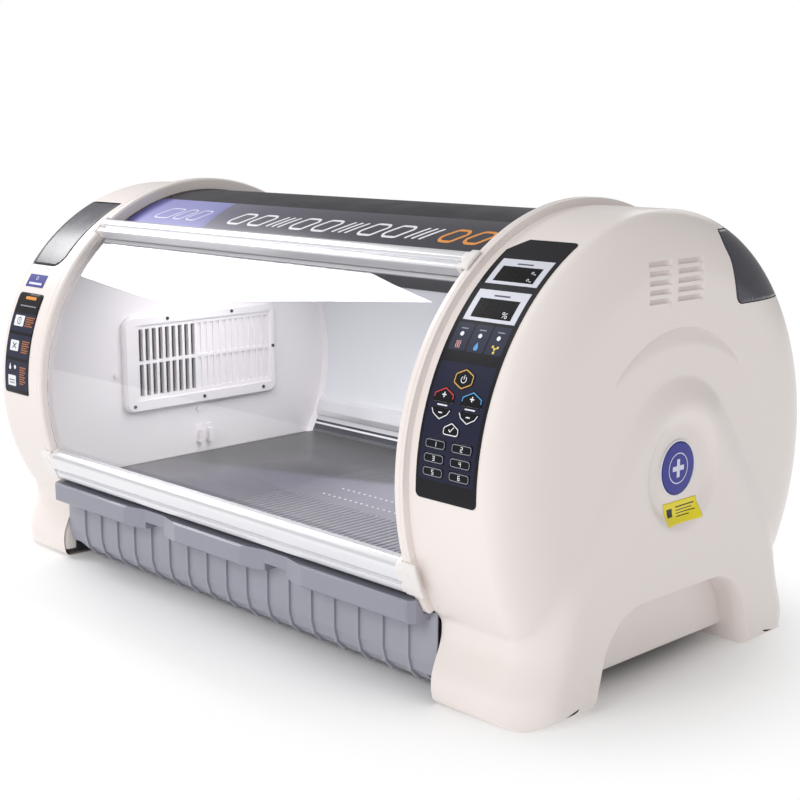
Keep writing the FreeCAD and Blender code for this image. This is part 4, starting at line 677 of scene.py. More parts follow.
def portOutline(gap):
    # The port's outline in skin coordinates: its end-view side, then its side on the drum.
    radius = cap["bodyRadius"]
    topZ = port["topZ"] - gap
    lowZ = port["lowZ"] + gap
    corners = [(y + gap, min(max(z, lowZ), topZ), r) for y, z, r in port["outline"]]
    rimTop = math.sqrt(radius ** 2 - (topZ - axisZ) ** 2)
    rimLow = math.sqrt(radius ** 2 - (lowZ - axisZ) ** 2)
    loop = rounded(corners + [(rimLow, lowZ, 0.0), (rimTop, topZ, 0.0)], 4.0)
    inPlace = endToSkin(loop[:, 0], loop[:, 1])
    # Cut away the straight closing run between the two rim points.
    first = int(np.argmin(np.abs(loop[:, 0] - rimLow) + np.abs(loop[:, 1] - lowZ)))
    last = int(np.argmin(np.abs(loop[:, 0] - rimTop) + np.abs(loop[:, 1] - topZ)))
    order = [(last + i) % len(loop) for i in range(((first - last) % len(loop)) + 1)]
    endSide = inPlace[order]
    inboard = port["inboardX"] + gap - halfGap - cap["flangeWidth"]
    uTop = endSide[0, 0]
    uLow = endSide[-1, 0]
    corner = port["corner"]
    box = rounded([(uLow, wallWay, 0.0), (uLow, inboard, corner), (uTop, inboard, 4.0),
                   (uTop, wallWay, 0.0)], 4.0)
    start = int(np.argmin(np.abs(box[:, 0] - uLow) + np.abs(box[:, 1] - wallWay)))
    stop = int(np.argmin(np.abs(box[:, 0] - uTop) + np.abs(box[:, 1] - wallWay)))
    run = [(start + i) % len(box) for i in range(((stop - start) % len(box)) + 1)]
    return np.vstack([endSide, box[run][1:-1]])


louvre = {
    "columns": [(-75.0, 49.0), (-12.0, 60.0)],
    "low": 543.0,
    "pitch": 12.6,
    "height": 7.2,
    "rows": 5,
    "depth": 6.5,
}


def louvreGrid(left, width, low):
    # A scoop: steep at its left, top and bottom edges, running out to the surface at its right end.
    p = np.array([0.0, 0.012, 0.03, 0.1, 0.2, 0.35, 0.5, 0.65, 0.78, 0.86, 0.93, 0.98, 1.0])
    q = np.array([0.0, 0.06, 0.14, 0.32, 0.5, 0.68, 0.86, 0.94, 1.0])
    y, z = np.meshgrid(left + p * width, low + q * louvre["height"])
    across = np.clip(p / 0.03, 0.0, 1.0) * (1.0 - softStep(p, 0.76, 1.0) * 0.98)
    across[-1] = 0.0
    upright = np.clip(np.minimum(q, 1.0 - q) / 0.14, 0.0, 1.0)
    tilt = 0.75 + 0.25 * q
    depth = louvre["depth"] * (upright * tilt)[:, None] * across[None, :]
    return y, z, depth


def buildCap():
    # One cap for the right end: skin of side wall and corner, end face, louvre scoops and the arch's inner panel.
    reach = edgeTable["walked"][-1]
    columns = np.linspace(-reach, reach, 2 * int(reach / 5.5) + 1)
    rows = np.concatenate([np.linspace(0.0, wallWay, 6), wallWay + np.linspace(0.0, 1.0, 19)[1:] * bandWay,
                           wallWay + bandWay + np.linspace(0.0, 1.0, 6)[1:] * flatWay])
    bottom = np.stack([columns, np.zeros_like(columns)], 1)
    right = np.stack([np.full(len(rows), reach), rows], 1)[1:-1]
    top = np.stack([columns[::-1], np.full_like(columns, skinWay)], 1)
    left = np.stack([np.full(len(rows), -reach), rows[::-1]], 1)[1:-1]
    outer = np.vstack([bottom, right, top, left])
    holes = [portOutline(0.0)]
    scoopPoints, scoopFaces = [], []
    for start, width in louvre["columns"]:
        for row in range(louvre["rows"]):
            y, z, depth = louvreGrid(start, width, louvre["low"] + row * louvre["pitch"])
            uw = endToSkin(y, z)
            rim = np.vstack([uw[0, :], uw[1:, -1], uw[-1, -2::-1], uw[-2:0:-1, 0]])
            holes.append(rim)
            spots = skinPoint(uw[..., 0], uw[..., 1])
            spots[..., 0] -= depth
            scoopFaces.append(gridFaces(*y.shape) + sum(len(p) for p in scoopPoints))
            scoopPoints.append(spots.reshape(-1, 3))
    mesh = np.stack(np.meshgrid(columns, rows), -1).reshape(-1, 2)
    flat, faces = triangulate(outer, holes, [], mesh, 2.0)
    points = [skinPoint(flat[:, 0], flat[:, 1])]
    groups = [faces]
    offset = len(flat)
    points += scoopPoints
    groups += [g + offset for g in scoopFaces]
    offset += sum(len(p) for p in scoopPoints)
    # The end face lies inside the skin's last row, with the crescent's crisp edge as two close lines.
    ring = skinPoint(columns[:-1], np.full(len(columns) - 1, skinWay))
    outline = ring[:, 1:]
    span = np.radians(np.linspace(*relief["crescentSpan"], 90))[::-1]
    lines = []
    for step in (0.5, -0.5):
        radius = relief["crescentRadius"] + step
        lines.append(np.stack([radius * np.cos(span), axisZ + radius * np.sin(span)], 1))
    ys = np.arange(-300.0, 300.1, 5.0)
    zs = np.arange(0.0, 560.0, 5.0)
    mesh = np.stack(np.meshgrid(ys, zs), -1).reshape(-1, 2)
    flat, faces = triangulate(outline, [], lines, mesh, 2.4)
    x = cap["endX"] + capRelief(flat[:, 0], flat[:, 1])
    points.append(np.column_stack([x, flat]))
    groups.append(faces + offset)
    offset += len(flat)
    # Inner panel of the arch, standing back from the face, with a rounded lower edge.
    across = np.linspace(-1.0, 1.0, 25)
    z = np.concatenate([[cap["recessZ"], cap["recessZ"], cap["recessZ"] + 1.5, cap["recessZ"] + 5.0],
                        np.linspace(cap["recessZ"] + 10.0, cap["archZ"] + 3.0, 10)])
    back = np.concatenate([[24.0, 5.0, 1.5, 0.0], np.zeros(10)])
    slope = (cap["archHalf"] - cap["archTopHalf"]) / (cap["archZ"] + 5.0)
    half = cap["archHalf"] + 3.0 - slope * (z + 5.0)
    grid = np.stack([np.full((len(z), 25), cap["recessX"]) - back[:, None],
                     half[:, None] * across[None, :], np.repeat(z[:, None], 25, 1)], -1)
    points.append(grid.reshape(-1, 3))
    groups.append(gridFaces(len(z), 25) + offset)
    return np.vstack(points), groups


def buildFlange():
    # The ring in front of the drum: a turned profile with a rounded inner edge and a shallow groove.
    r = flangeRadius
    x = halfGap
    bend = np.linspace(math.pi, math.pi / 2.0, 7)
    profile = [(x + cap["flangeWidth"], r - 20.0), (x, r - 20.0), (x, r - 6.0)]
    profile += [(x + 5.0 + 5.0 * math.cos(a), r - 5.0 + 5.0 * math.sin(a)) for a in bend]
    profile += [(x + 11.0, r), (x + 11.8, r - 0.8), (x + 12.6, r), (x + 16.5, r), (x + 17.6, r - 0.6),
                (x + 18.0, r - 2.0), (x + 18.0, cap["bodyRadius"] - 2.0)]
    profile = np.array(profile)
    low = math.asin((cap["shoulderZ"] - 1.0 - axisZ) / (r - 8.0))
    turn = np.linspace(low, math.pi - low, 220)
    px, pr = profile[:, 0][:, None], profile[:, 1][:, None]
    grid = np.stack([np.repeat(px, 220, 1), pr * np.cos(turn), axisZ + pr * np.sin(turn)], -1)
    # Cut level at the shoulder, where the drawer's rims pass below.
    grid[..., 2] = np.maximum(grid[..., 2], cap["shoulderZ"] - 1.5)
    # The lower ends are closed with a flat sheet each.
    count = len(profile)
    faces = [gridFaces(count, 220)]
    for column in (0, 219):
        faces.append(np.array([[i * 220 + column for i in range(count)]]))
    return grid.reshape(-1, 3), faces


def footReturns():
    # The rounded inner edge of each foot and a short way of its inner wall.
    table = edgeTable
    pick = (table["walked"] > table["drumEnd"] + 2.0) & (table["edge"][:, 1] > cap["soleRound"])
    pick &= table["edge"][:, 0] > cap["archHalf"] + 60.0
    edge = table["edge"][pick]
    bend = np.linspace(0.0, math.pi / 2.0, 6)
    radius = 11.0
    footWall = cap["footInner"] + 0.8
    pieces = []
    for sign in (1.0, -1.0):
        rows = [np.column_stack([np.full(len(edge), footWall + radius - radius * math.sin(b)),
                                 sign * (edge[:, 0] - radius * (1.0 - math.cos(b))),
                                 edge[:, 1]]) for b in bend]
        inside = np.column_stack([np.full(len(edge), footWall), np.full(len(edge), sign * cap["archHalf"]),
                                  edge[:, 1]])
        rows.append(inside)
        pieces.append(np.array(rows))
    return pieces


def turnedHalf(points):
    # Half a turn about the upright axis: x and y change sign.
    return points * np.array([-1.0, -1.0, 1.0])


capPoints, capFaces = buildCap()
flangePoints, flangeFaces = buildFlange()
flangeFaces = [g + len(capPoints) for g in flangeFaces]
shellPoints = np.vstack([capPoints, flangePoints])
shellFaces = capFaces + flangeFaces
for grid in footReturns():
    shellFaces.append(gridFaces(grid.shape[0], grid.shape[1]) + len(shellPoints))
    shellPoints = np.vstack([shellPoints, grid.reshape(-1, 3)])
for name, node, place in (("capShellRight", "cap_right", lambda p: p),
                          ("capShellLeft", "cap_left", turnedHalf)):
    centre = (520.0 if node == "cap_right" else -520.0, 0.0, axisZ)
    piece = addPiece(name, place(shellPoints), shellFaces, "creamShell", "housing", 0.0,
                     centre)
    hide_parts(node)
print("caps built,", len(shellPoints), "points each")

portLoop = portOutline(port["gap"])
uLow, wLow = portLoop.min(0)
uHigh, wHigh = portLoop.max(0)
mesh = np.stack(np.meshgrid(np.arange(uLow, uHigh, 5.0), np.arange(wLow, wHigh, 5.0)), -1).reshape(-1, 2)
portFlat, portFaces = triangulate(portLoop, [], [], mesh, 2.0)
portPoints = skinPoint(portFlat[:, 0], portFlat[:, 1])
for name, node, place in (("portShellRight", "port_cover_right", lambda p: p),
                          ("portShellLeft", "port_cover_left", turnedHalf)):
    centre = (520.0 if node.endswith("right") else -520.0, 0.0, axisZ)
    piece = addPiece(name, place(portPoints), portFaces, "slatePort", bodyOf[node], 3.0,
                     centre)
    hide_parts(node)
print("ports built")


# Prints and films

def laid(flat, radius):
    # Flat places (x, s) laid round the axis in front; s is walked upwards from the axis' height.
    angle = flat[:, 1] / radius
    return np.column_stack([flat[:, 0], -radius * np.cos(angle), axisZ + radius * np.sin(angle)])


def stroke(path, width, closed=False):
    # A line of even width: its two edges lie half the width to each side of the path, mitred at corners.
    path = cutShort(np.asarray(path, float), 3.0, closed)
    if closed:
        path = np.vstack([path, path[:1]])
    ahead = np.diff(path, axis=0)
    ahead /= np.linalg.norm(ahead, axis=1)[:, None]
    first = ahead[-1] if closed else ahead[0]
    last = ahead[0] if closed else ahead[-1]
    before = np.vstack([first, ahead])
    after = np.vstack([ahead, last])
    side = np.column_stack([-after[:, 1], after[:, 0]])
    mitre = before + after
    mitre = np.column_stack([-mitre[:, 1], mitre[:, 0]]) / np.linalg.norm(mitre, axis=1)[:, None]
    reach = width / 2.0 / np.clip((mitre * side).sum(1), 0.5, 1.0)
    points = np.vstack([path + mitre * reach[:, None], path - mitre * reach[:, None]])
    return points, gridFaces(2, len(path))


def fill(outline, holes=()):
    # A filled outline with a loose grid inside, so that it can be laid round the shell.
    outline = np.asarray(outline, float)
    low, high = outline.min(0), outline.max(0)
    mesh = np.stack(np.meshgrid(np.arange(low[0], high[0], 4.0), np.arange(low[1], high[1], 4.0)),
                    -1).reshape(-1, 2)
    return triangulate(outline, list(holes), [], mesh, 1.5)


def bar(x0, x1, s0, s1, radius=0.6):
    # A bar between two x and two arc lengths, its four corners rounded.
    return rounded([(x0, s0, radius), (x1, s0, radius), (x1, s1, radius), (x0, s1, radius)], 2.0)


def circle(x, s, radius, start=0.0, sweep=360.0):
    # Points on an arc: centre plus radius times the angle's cosine and sine.
    angle = np.radians(np.linspace(start, start + sweep, 25))
    return np.column_stack([x + radius * np.cos(angle), s + radius * np.sin(angle)])


inks = {}


def ink(name, finish, body, slot, radius, *shapes):
    # Gathers flat shapes of one colour into one piece.
    inks.setdefault((name, finish, body, slot, radius), []).extend(shapes)


segments = {"1": "bc", "2": "abged", "3": "abgcd", "4": "fgbc", "5": "afgcd", "6": "afgecd", "8": "abcdefg"}
segmentEnds = {
    "a": ((0, 2), (1, 2)), "b": ((1, 1), (1, 2)), "c": ((1, 0), (1, 1)), "d": ((0, 0), (1, 0)),
    "e": ((0, 0), (0, 1)), "f": ((0, 1), (0, 2)), "g": ((0, 1), (1, 1)),
}


def digit(figure, x, s, width, height, line, lean=0.0):
    # A number drawn as straight segments between the corners of two stacked boxes.
    shapes = []
    for letter in segments[figure]:
        (x0, y0), (x1, y1) = segmentEnds[letter]
        ends = [(x + (u - 0.5) * width + (v - 1.0) * lean, s + (v - 1.0) * height / 2.0)
                for u, v in ((x0, y0), (x1, y1))]
        run = np.array(ends[1]) - np.array(ends[0])
        run = run / np.linalg.norm(run) * line / 2.0
        shapes.append(stroke([np.array(ends[0]) - run, np.array(ends[1]) + run], line))
    return shapes


panel = {
    "shell": cap["bodyRadius"],
    "filmPrint": 356.07,
    "bezelPrint": 356.68,
    "windowPrint": 356.28,
    "keyPrint": 356.87,
    "inboard": halfGap + 32.0,
    "tileField": (31.1, 37.6),
    "keyField": (3.2, 28.5),
    "lensAngle": 34.8,
    "lensAcross": (22.5, 54.5, 86.5),
    "displays": ((56.0, 51.8, 45.0, 23.7), (56.0, 42.2, 45.0, 24.8)),
    "keys": {
        "key_power": (55.0, 25.2, 16.5, 14.3), "key_warmer": (29.5, 21.35, 17.5, 10.2),
        "key_cooler": (29.5, 17.2, 17.5, 7.8), "key_wetter": (78.5, 21.35, 17.5, 10.2),
        "key_drier": (78.5, 17.2, 17.5, 7.8), "key_confirm": (54.0, 14.5, 14.0, 9.0),
        "key_mode_a": (30.5, 10.85, 18.0, 6.4), "key_mode_b": (77.5, 10.85, 18.0, 6.4),
        "key_mode_c": (30.5, 7.85, 18.0, 6.4), "key_mode_d": (77.5, 7.85, 18.0, 6.4),
        "key_mode_e": (30.5, 4.95, 18.0, 6.4), "key_mode_f": (77.5, 4.95, 18.0, 6.4),
    },
}


def upTo(degrees):
    # The way walked up the shell to an angle.
    return panel["shell"] * math.radians(degrees)


def keyOutline(name, inset):
    # The outline of a key, drawn in by the inset, with its middle and half sizes.
    across, degrees, halfX, halfS = panel["keys"][name]
    x, s = panel["inboard"] + across, upTo(degrees)
    wide, high = halfX - inset, halfS - inset
    if name == "key_power":
        corners = [(0, high), (wide, high * 0.45), (wide, -high * 0.45), (0, -high), (-wide, -high * 0.45),
                   (-wide, high * 0.45)]
    elif name in ("key_warmer", "key_wetter", "key_confirm"):
        corners = [(0, high), (wide, high * 0.1), (wide, -high), (-wide, -high), (-wide, high * 0.1)]
    elif name in ("key_cooler", "key_drier"):
        corners = [(-wide, high), (wide, high), (wide * 0.75, 0), (0, -high), (-wide * 0.75, 0)]
    else:
        corners = [(-wide, -high), (wide, -high), (wide, high), (-wide, high)]
    return x, s, wide, high, [(x + u, s + v) for u, v in corners]


def keyPrints():
    # Coloured outlines and plain symbols on the keys, each riding with its key.
    figures = iter("123456")
    for name in panel["keys"]:
        body = bodyOf[name]
        tail = "".join(word.capitalize() for word in name.split("_"))
        radius = panel["keyPrint"]
        x, s, wide, high, corners = keyOutline(name, 1.4)
        loop = rounded([(u, v, 3.0) for u, v in corners], 3.0)
        white = []
        if name == "key_power":
            ink("gold" + tail, "printGold", body, "key_film", radius, stroke(loop, 1.5, True))
            white = [stroke(circle(x, s - 0.5, 4.4, 125.0, 290.0), 1.1),
                     stroke([(x, s - 0.5), (x, s + 5.6)], 1.1)]
        elif name in ("key_warmer", "key_wetter"):
            colour = "printRed" if name == "key_warmer" else "printBlue"
            roof = [(x - wide, s - high * 0.5), (x - wide, s + high * 0.1), (x, s + high),
                    (x + wide, s + high * 0.1),
                    (x + wide, s - high * 0.5)]
            ink("roof" + tail, colour, body, "key_film", radius, stroke(roof, 1.5))
            white = [stroke([(x - 3.6, s), (x + 3.6, s)], 1.7), stroke([(x, s - 3.6), (x, s + 3.6)], 1.7)]
        elif name in ("key_cooler", "key_drier"):
            shield = [(x - wide, s + high), (x - wide * 0.75, s), (x, s - high), (x + wide * 0.75, s),
                      (x + wide, s + high)]
            white = [stroke(shield, 1.3), stroke([(x - 3.4, s + 2.0), (x + 3.4, s + 2.0)], 1.7)]
        elif name == "key_confirm":
            white = [stroke(loop, 1.3, True),
                     stroke([(x - 4.0, s - 0.6), (x - 1.2, s - 3.6), (x + 4.4, s + 3.0)], 1.3)]
        else:
            ink("ring" + tail, "printGrey", body, "key_film", radius, stroke(loop, 1.0, True))
            white = digit(next(figures), x, s, 3.0, 5.6, 0.9)
        ink("sign" + tail, "printWhite", body, "key_film", radius, *white)


def panelPrints():
    # Fields of the film, tiles with their three symbols, and the displays' marks.
    x0 = panel["inboard"]
    film, body = "panel_film", "housing"
    radius = panel["filmPrint"]
    keyHoles = [np.array(rounded([(u, v, 1.0) for u, v in keyOutline(name, -0.5)[4]],
                                 4.0)) for name in panel["keys"]]
    low, high = (upTo(a) for a in panel["keyField"])
    ink("panelKeyField", "printNavy", body, film, radius,
        fill(bar(x0 + 5.0, x0 + 103.0, low, high, 4.0), keyHoles))
    low, high = (upTo(a) for a in panel["tileField"])
    for across in panel["lensAcross"]:
        middle = x0 + across
        ink("panelTiles", "printTile", body, film, radius,
            fill(bar(middle - 14.6, middle + 14.6, low, high, 2.0)))
    s = upTo(panel["lensAngle"])
    for across in panel["lensAcross"]:
        ink("panelWords", "printGrey", body, film, radius + 0.04,
            fill(bar(x0 + across - 6.0, x0 + across + 6.0, s + 8.4, s + 10.0)))
    waves, drop, atoms = (x0 + across for across in panel["lensAcross"])
    s = upTo(32.5)
    steps = np.linspace(-5.2, 5.2, 13)
    for shift in (-3.0, 0.0, 3.0):
        line = np.column_stack([waves + shift + 0.9 * np.sin(steps * 1.3), s + steps])
        ink("panelWaves", "printRose", body, film, radius + 0.04, stroke(line, 1.1))
    ink("panelDrop", "printBlue", body, film, radius + 0.04, fill(dropLoop(drop, s, 3.6, 6.4)))
    ink("panelAtoms", "printYellow", body, film, radius + 0.04,
        stroke([(atoms - 4.2, s + 3.0), (atoms, s)], 1.0), stroke([(atoms + 4.2, s + 2.4), (atoms, s)], 1.0),
        stroke([(atoms, s - 5.0), (atoms, s)], 1.0))
    for u, v in ((-4.2, 3.0), (4.2, 2.4), (0.0, -5.0), (0.0, 0.0)):
        ink("panelAtomDots", "printYellow", body, film, radius + 0.08,
            fill(circle(atoms + u, s + v, 1.9)[:-1]))
    for across in (29.5, 78.5):
        ink("panelWords", "printWhite", body, film, radius + 0.04,
            fill(bar(x0 + across - 9.0, x0 + across + 9.0, upTo(19.1) - 0.9, upTo(19.1) + 0.9)))
    for index, (across, degrees, halfX, halfS) in enumerate(panel["displays"]):
        x, s = x0 + across, upTo(degrees)
        head = s + halfS - 7.5
        window = s + (5.0 - 14.0) / 2.0
        ink("bezelMarks", "printSlate", body, "bezel_film", panel["bezelPrint"],
            fill(bar(x - 14.0, x + 14.0, head - 1.3, head + 1.3)))
        for shift in (-22.0, -6.0):
            ink("displayGhosts", "printGhost", body, "dark_window", panel["windowPrint"],
                *digit("8", x + shift, window, 9.0, 17.0, 1.8, 1.2))
        if index == 0:
            marks = [stroke(circle(x + 22.0, window + 6.6, 1.7), 0.9),
                     stroke([(x + 25.0, window + 4.0), (x + 29.0, window + 4.0)], 1.2),
                     stroke(circle(x + 22.0, window - 6.6, 1.7), 0.9),
                     stroke([(x + 25.0, window - 9.0), (x + 29.0, window - 9.0)], 1.2)]
        else:
            marks = [stroke(circle(x + 18.0, window - 4.0, 1.7), 1.0),
                     stroke(circle(x + 24.0, window - 9.5, 1.7), 1.0),
                     stroke([(x + 18.0, window - 10.4), (x + 24.0, window - 3.2)], 1.0)]
        ink("displayMarks", "printWhite", body, "dark_window", panel["windowPrint"], *marks)


def dropLoop(x, s, wide, high):
    # A drop: a circle below, drawn out to a point above.
    angle = np.radians(np.linspace(150.0, 390.0, 19))
    loop = np.column_stack([x + wide * np.cos(angle), s - high * 0.35 + wide * np.sin(angle)])
    return np.vstack([loop, [(x, s + high)]])


cover = {
    "print": 345.3,
    "half": 446.0,
    "low": 56.0,
    "high": 74.0,
    "split": ((-209.0, 56.0), (-230.0, 74.0)),
    "signs": (62.0, 67.6),
    "lean": 26.0,
}


def coverPrints():
    # The printed band beside the upper rail: a blue end, a slate field and a row of slanted shapes.
    reach = cover["print"]
    way = lambda degrees: reach * math.radians(degrees)
    low, high = way(cover["low"]), way(cover["high"])
    (x0, _), (x1, _) = cover["split"]
    half = cover["half"]
    ink("coverBlue", "coverBlue", "housing", "cover_film", reach,
        fill(cutShort(np.array([(-half, low), (x0, low), (x1, high), (-half, high)]), 8.0, True)))
    ink("coverSlate", "coverSlate", "housing", "cover_film", reach,
        fill(cutShort(np.array([(x0, low), (half, low), (half, high), (x1, high)]), 8.0, True)))
    s0, s1 = (way(a) for a in cover["signs"])
    lean = cover["lean"]

    def slanted(x, width, radius):
        return rounded([(x, s0, radius), (x + width, s0, radius), (x + width + lean, s1, radius),
                        (x + lean, s1, radius)], 3.0)
    for index in range(9):
        x = -176.0 + index * 54.0
        if index % 3 == 2:
            for shift in (0.0, 15.0, 30.0):
                ink("coverSigns", "printWhite", "housing", "cover_film", reach + 0.1,
                    fill(slanted(x + shift, 6.5, 1.5)))
        else:
            ink("coverSigns", "printWhite", "housing", "cover_film", reach + 0.1,
                stroke(slanted(x, 36.0, 7.0), 5.5, True))
    for x in (318.0, 368.0):
        ink("coverSignsWarm", "printOrange", "housing", "cover_film", reach + 0.1,
            stroke(slanted(x, 34.0, 9.0), 6.0, True))
    pale = []
    for x, width in ((-388.0, 44.0), (-332.0, 26.0), (-294.0, 30.0)):
        pale.append(stroke(slanted(x, width, 6.0), 3.2, True))
    ink("coverSignsPale", "printPale", "housing", "cover_film", reach + 0.1, *pale)


strip = {
    "left": -591.0,
    "right": -510.0,
    "low": -1.8,
    "high": 28.1,
    "face": 355.95,
    "print": 356.02,
    "fields": ((16.3, 21.8), (8.7, 15.4), (-0.6, 7.8)),
    "squares": ((-580.0, -548.0, 17.9, 21.1), (-578.5, -550.0, 10.6, 13.7), (-579.0, -552.0, 0.3, 3.4)),
    "words": ((-543.0, -514.0, 17.9, 21.1, 5), (-540.0, -514.0, 10.2, 14.0, 6),
              (-540.0, -518.0, 1.0, 6.4, 8)),
}


def stripPrints():
    # The dark guide on the left cap: heading, three fields, each with a plain sign and short bars beside it.
    radius = strip["print"]
    ink("stripHeading", "printOrange", "housing", "strip_black", radius,
        fill(bar(-566.0, -530.0, upTo(26.1), upTo(27.0), 1.5)))
    ink("stripLine", "printGrey", "housing", "strip_black", radius,
        fill(bar(-576.0, -522.0, upTo(23.9), upTo(24.25), 0.8)))
    for low, high in strip["fields"]:
        ink("stripFields", "printTile", "housing", "strip_black", radius,
            fill(bar(-589.0, -512.0, upTo(low), upTo(high), 1.0)))
    for index, (x0, x1, low, high) in enumerate(strip["squares"]):
        s0, s1 = upTo(low), upTo(high)
        ink("stripSquares", "printWhite", "housing", "strip_black", radius + 0.05,
            fill(bar(x0, x1, s0, s1, 1.5)))
        x, s = (x0 + x1) / 2.0, (s0 + s1) / 2.0
        if index == 0:
            sign = [stroke(circle(x, s, 6.0), 1.6, False), stroke([(x, s - 3.0), (x, s + 3.0)], 1.6)]
        elif index == 1:
            sign = [stroke([(x - 6.0, s + 5.0), (x + 6.0, s - 5.0)], 2.0),
                    stroke([(x - 6.0, s - 5.0), (x + 6.0, s + 5.0)], 2.0)]
        else:
            sign = [stroke([(x - 9.0, s - 4.0), (x + 9.0, s - 4.0)], 1.6),
                    stroke([(x - 9.0, s + 1.0), (x + 9.0, s + 1.0)], 1.6)]
        ink("stripSigns", "printBlack", "housing", "strip_black", radius + 0.1, *sign)
    ink("stripDrops", "printWhite", "housing", "strip_black", radius + 0.05,
        fill(dropLoop(-573.0, upTo(5.9), 3.4, 6.5)), fill(circle(-556.0, upTo(5.9), 3.6)[:-1]))
    shares = (1.0, 0.86, 0.97, 0.72, 0.92, 0.8, 1.0, 0.64)
    for x0, x1, low, high, count in strip["words"]:
        pitch = (upTo(high) - upTo(low)) / count
        for row in range(count):
            s = upTo(high) - (row + 0.5) * pitch
            ink("stripWords", "printRust", "housing", "strip_black", radius + 0.05,
                fill(bar(x0, x0 + (x1 - x0) * shares[row], s - 1.0, s + 1.0, 0.4)))
    ink("labelMarks", "printPale", "housing", "label_blue", radius,
        stroke(circle(-556.0, upTo(32.9), 3.2), 1.0), fill(bar(-577.0, -534.0, upTo(30.8), upTo(31.5), 0.8)))


keyPrints()
panelPrints()
coverPrints()
stripPrints()
for (name, finish, body, slot, radius), shapes in inks.items():
    points, faces, offset = [], [], 0
    for flat, quads in shapes:
        points.append(laid(flat, radius))
        faces.append(quads + offset)
        offset += len(flat)
    addPiece(name, np.vstack(points), faces, finish, body, 0.0,
             (float(np.vstack(points)[:, 0].mean()), 0.0, axisZ))

outline = rounded([(strip["left"], upTo(strip["low"]), 6.0), (strip["right"], upTo(strip["low"]), 3.0),
                   (strip["right"], upTo(strip["high"]), 6.0), (strip["left"], upTo(strip["high"]), 6.0)],
                   4.0)
flat, faces = fill(outline)
piece = addPiece("guideFilm", laid(flat, strip["face"]), faces, "stripBlack", "housing", 0.8,
                 (-550.0, 0.0, axisZ))
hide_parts("guide_strip")
print("prints laid,", len(inks), "pieces")


# Badge and label on the right cap

sticker = {
    "corners": ((-35.0, 262.5), (42.0, 262.5), (47.0, 232.0), (-29.5, 230.0)),
    "lift": 0.6,
}


def onRelief(across, up, lift):
    # Places on the square label, from its four corners, lifted off the moulded end.
    (ay, az), (by, bz), (cy, cz), (dy, dz) = sticker["corners"]
    y = (1 - across) * (1 - up) * dy + across * (1 - up) * cy + across * up * by + (1 - across) * up * ay
    z = (1 - across) * (1 - up) * dz + across * (1 - up) * cz + across * up * bz + (1 - across) * up * az
    return np.stack([cap["endX"] + capRelief(y, z) + lift, y, z], -1)


def reliefSheet(u0, u1, v0, v1, lift, step=0.03):
    # Grid over a share of the label's surface, its rows twice as far apart as its columns.
    columns = max(2, int((u1 - u0) / step) + 1)
    rows = max(2, int((v1 - v0) / (2.0 * step)) + 1)
    u, v = np.meshgrid(np.linspace(u0, u1, columns), np.linspace(v0, v1, rows))
    return onRelief(u, v, lift).reshape(-1, 3), gridFaces(rows, columns)


points, faces = reliefSheet(0.0, 1.0, 0.0, 1.0, sticker["lift"])
piece = addPiece("yellowLabel", points, faces, "labelYellow", "housing", 0.4,
                 (0.0, 0.0, axisZ))
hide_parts("badge_label")
spots, groups, offset = [], [], 0
for u0, u1, v0, v1 in ((0.09, 0.25, 0.34, 0.72), (0.36, 0.92, 0.7, 0.76), (0.36, 0.84, 0.55, 0.59),
                       (0.36, 0.9, 0.41, 0.45),
                       (0.36, 0.72, 0.27, 0.31)):
    points, faces = reliefSheet(u0, u1, v0, v1, sticker["lift"] + 0.12)
    spots.append(points)
    groups.append(faces + offset)
    offset += len(points)
addPiece("yellowLabelMarks", np.vstack(spots), groups, "printBlack", "housing", 0.0,
         (0.0, 0.0, axisZ))

badge = {
    "centreY": -4.4,
    "centreZ": relief["ridgeZ"] + 5.0,
    "base": faceX - relief["dishDepth"],
    "radius": 40.6,
}


def turnedAboutX(profile, centreZ, count=96):
    # A profile of (x, radius) points turned about a line along X.
    profile = np.array(profile)
    angle = np.linspace(0.0, 2.0 * math.pi, count + 1)
    grid = np.stack([np.repeat(profile[:, :1], count + 1, 1), profile[:, 1:] * np.cos(angle),
                     centreZ + profile[:, 1:] * np.sin(angle)], -1)
    return grid.reshape(-1, 3), gridFaces(len(profile), count + 1)


r, x = badge["radius"], badge["base"]
rings = (
    ("badgeRim", "printWhite",
     [(x - 6.0, r), (x + 1.6, r), (x + 2.4, r - 0.5), (x + 2.6, r - 1.3), (x + 2.4, r - 2.1),
      (x + 1.4, r - 2.6)]),
    ("badgeRing", "badgeDeep",
     [(x + 1.4, r - 2.4), (x + 1.6, r - 3.0), (x + 1.8, r - 4.6), (x + 1.9, r - 4.8)]),
    ("badgeFace", "badgeBlue",
     [(x + 1.9, r - 4.6), (x + 2.2, r - 12.0), (x + 2.5, r - 26.0), (x + 2.6, 0.2)]),
)
for name, finish, profile in rings:
    points, faces = turnedAboutX(profile, badge["centreZ"])
    points[:, 1] += badge["centreY"]
    piece = addPiece(name, points, faces, finish, "housing", 0.0,
                     (x - 60.0, 0.0, badge["centreZ"]))
    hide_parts("badge")
shapes = [stroke([(-13.0, 0.0), (13.0, 0.0)], 7.0), stroke([(0.0, 3.5), (0.0, 13.0)], 7.0),
          stroke([(0.0, -13.0), (0.0, -3.5)], 7.0), stroke(circle(0.0, 0.0, 21.5), 1.6)]
points, faces, offset = [], [], 0
for flat, quads in shapes:
    points.append(np.column_stack([np.full(len(flat), x + 2.75), badge["centreY"] + flat[:, 0],
                                   badge["centreZ"] + flat[:, 1]]))
    faces.append(quads + offset)
    offset += len(flat)
addPiece("badgeSign", np.vstack(points), faces, "printPale", "housing", 0.0,
         (x - 60.0, 0.0, badge["centreZ"]))
print("badge and label laid")


# Door rails with their moulded ends

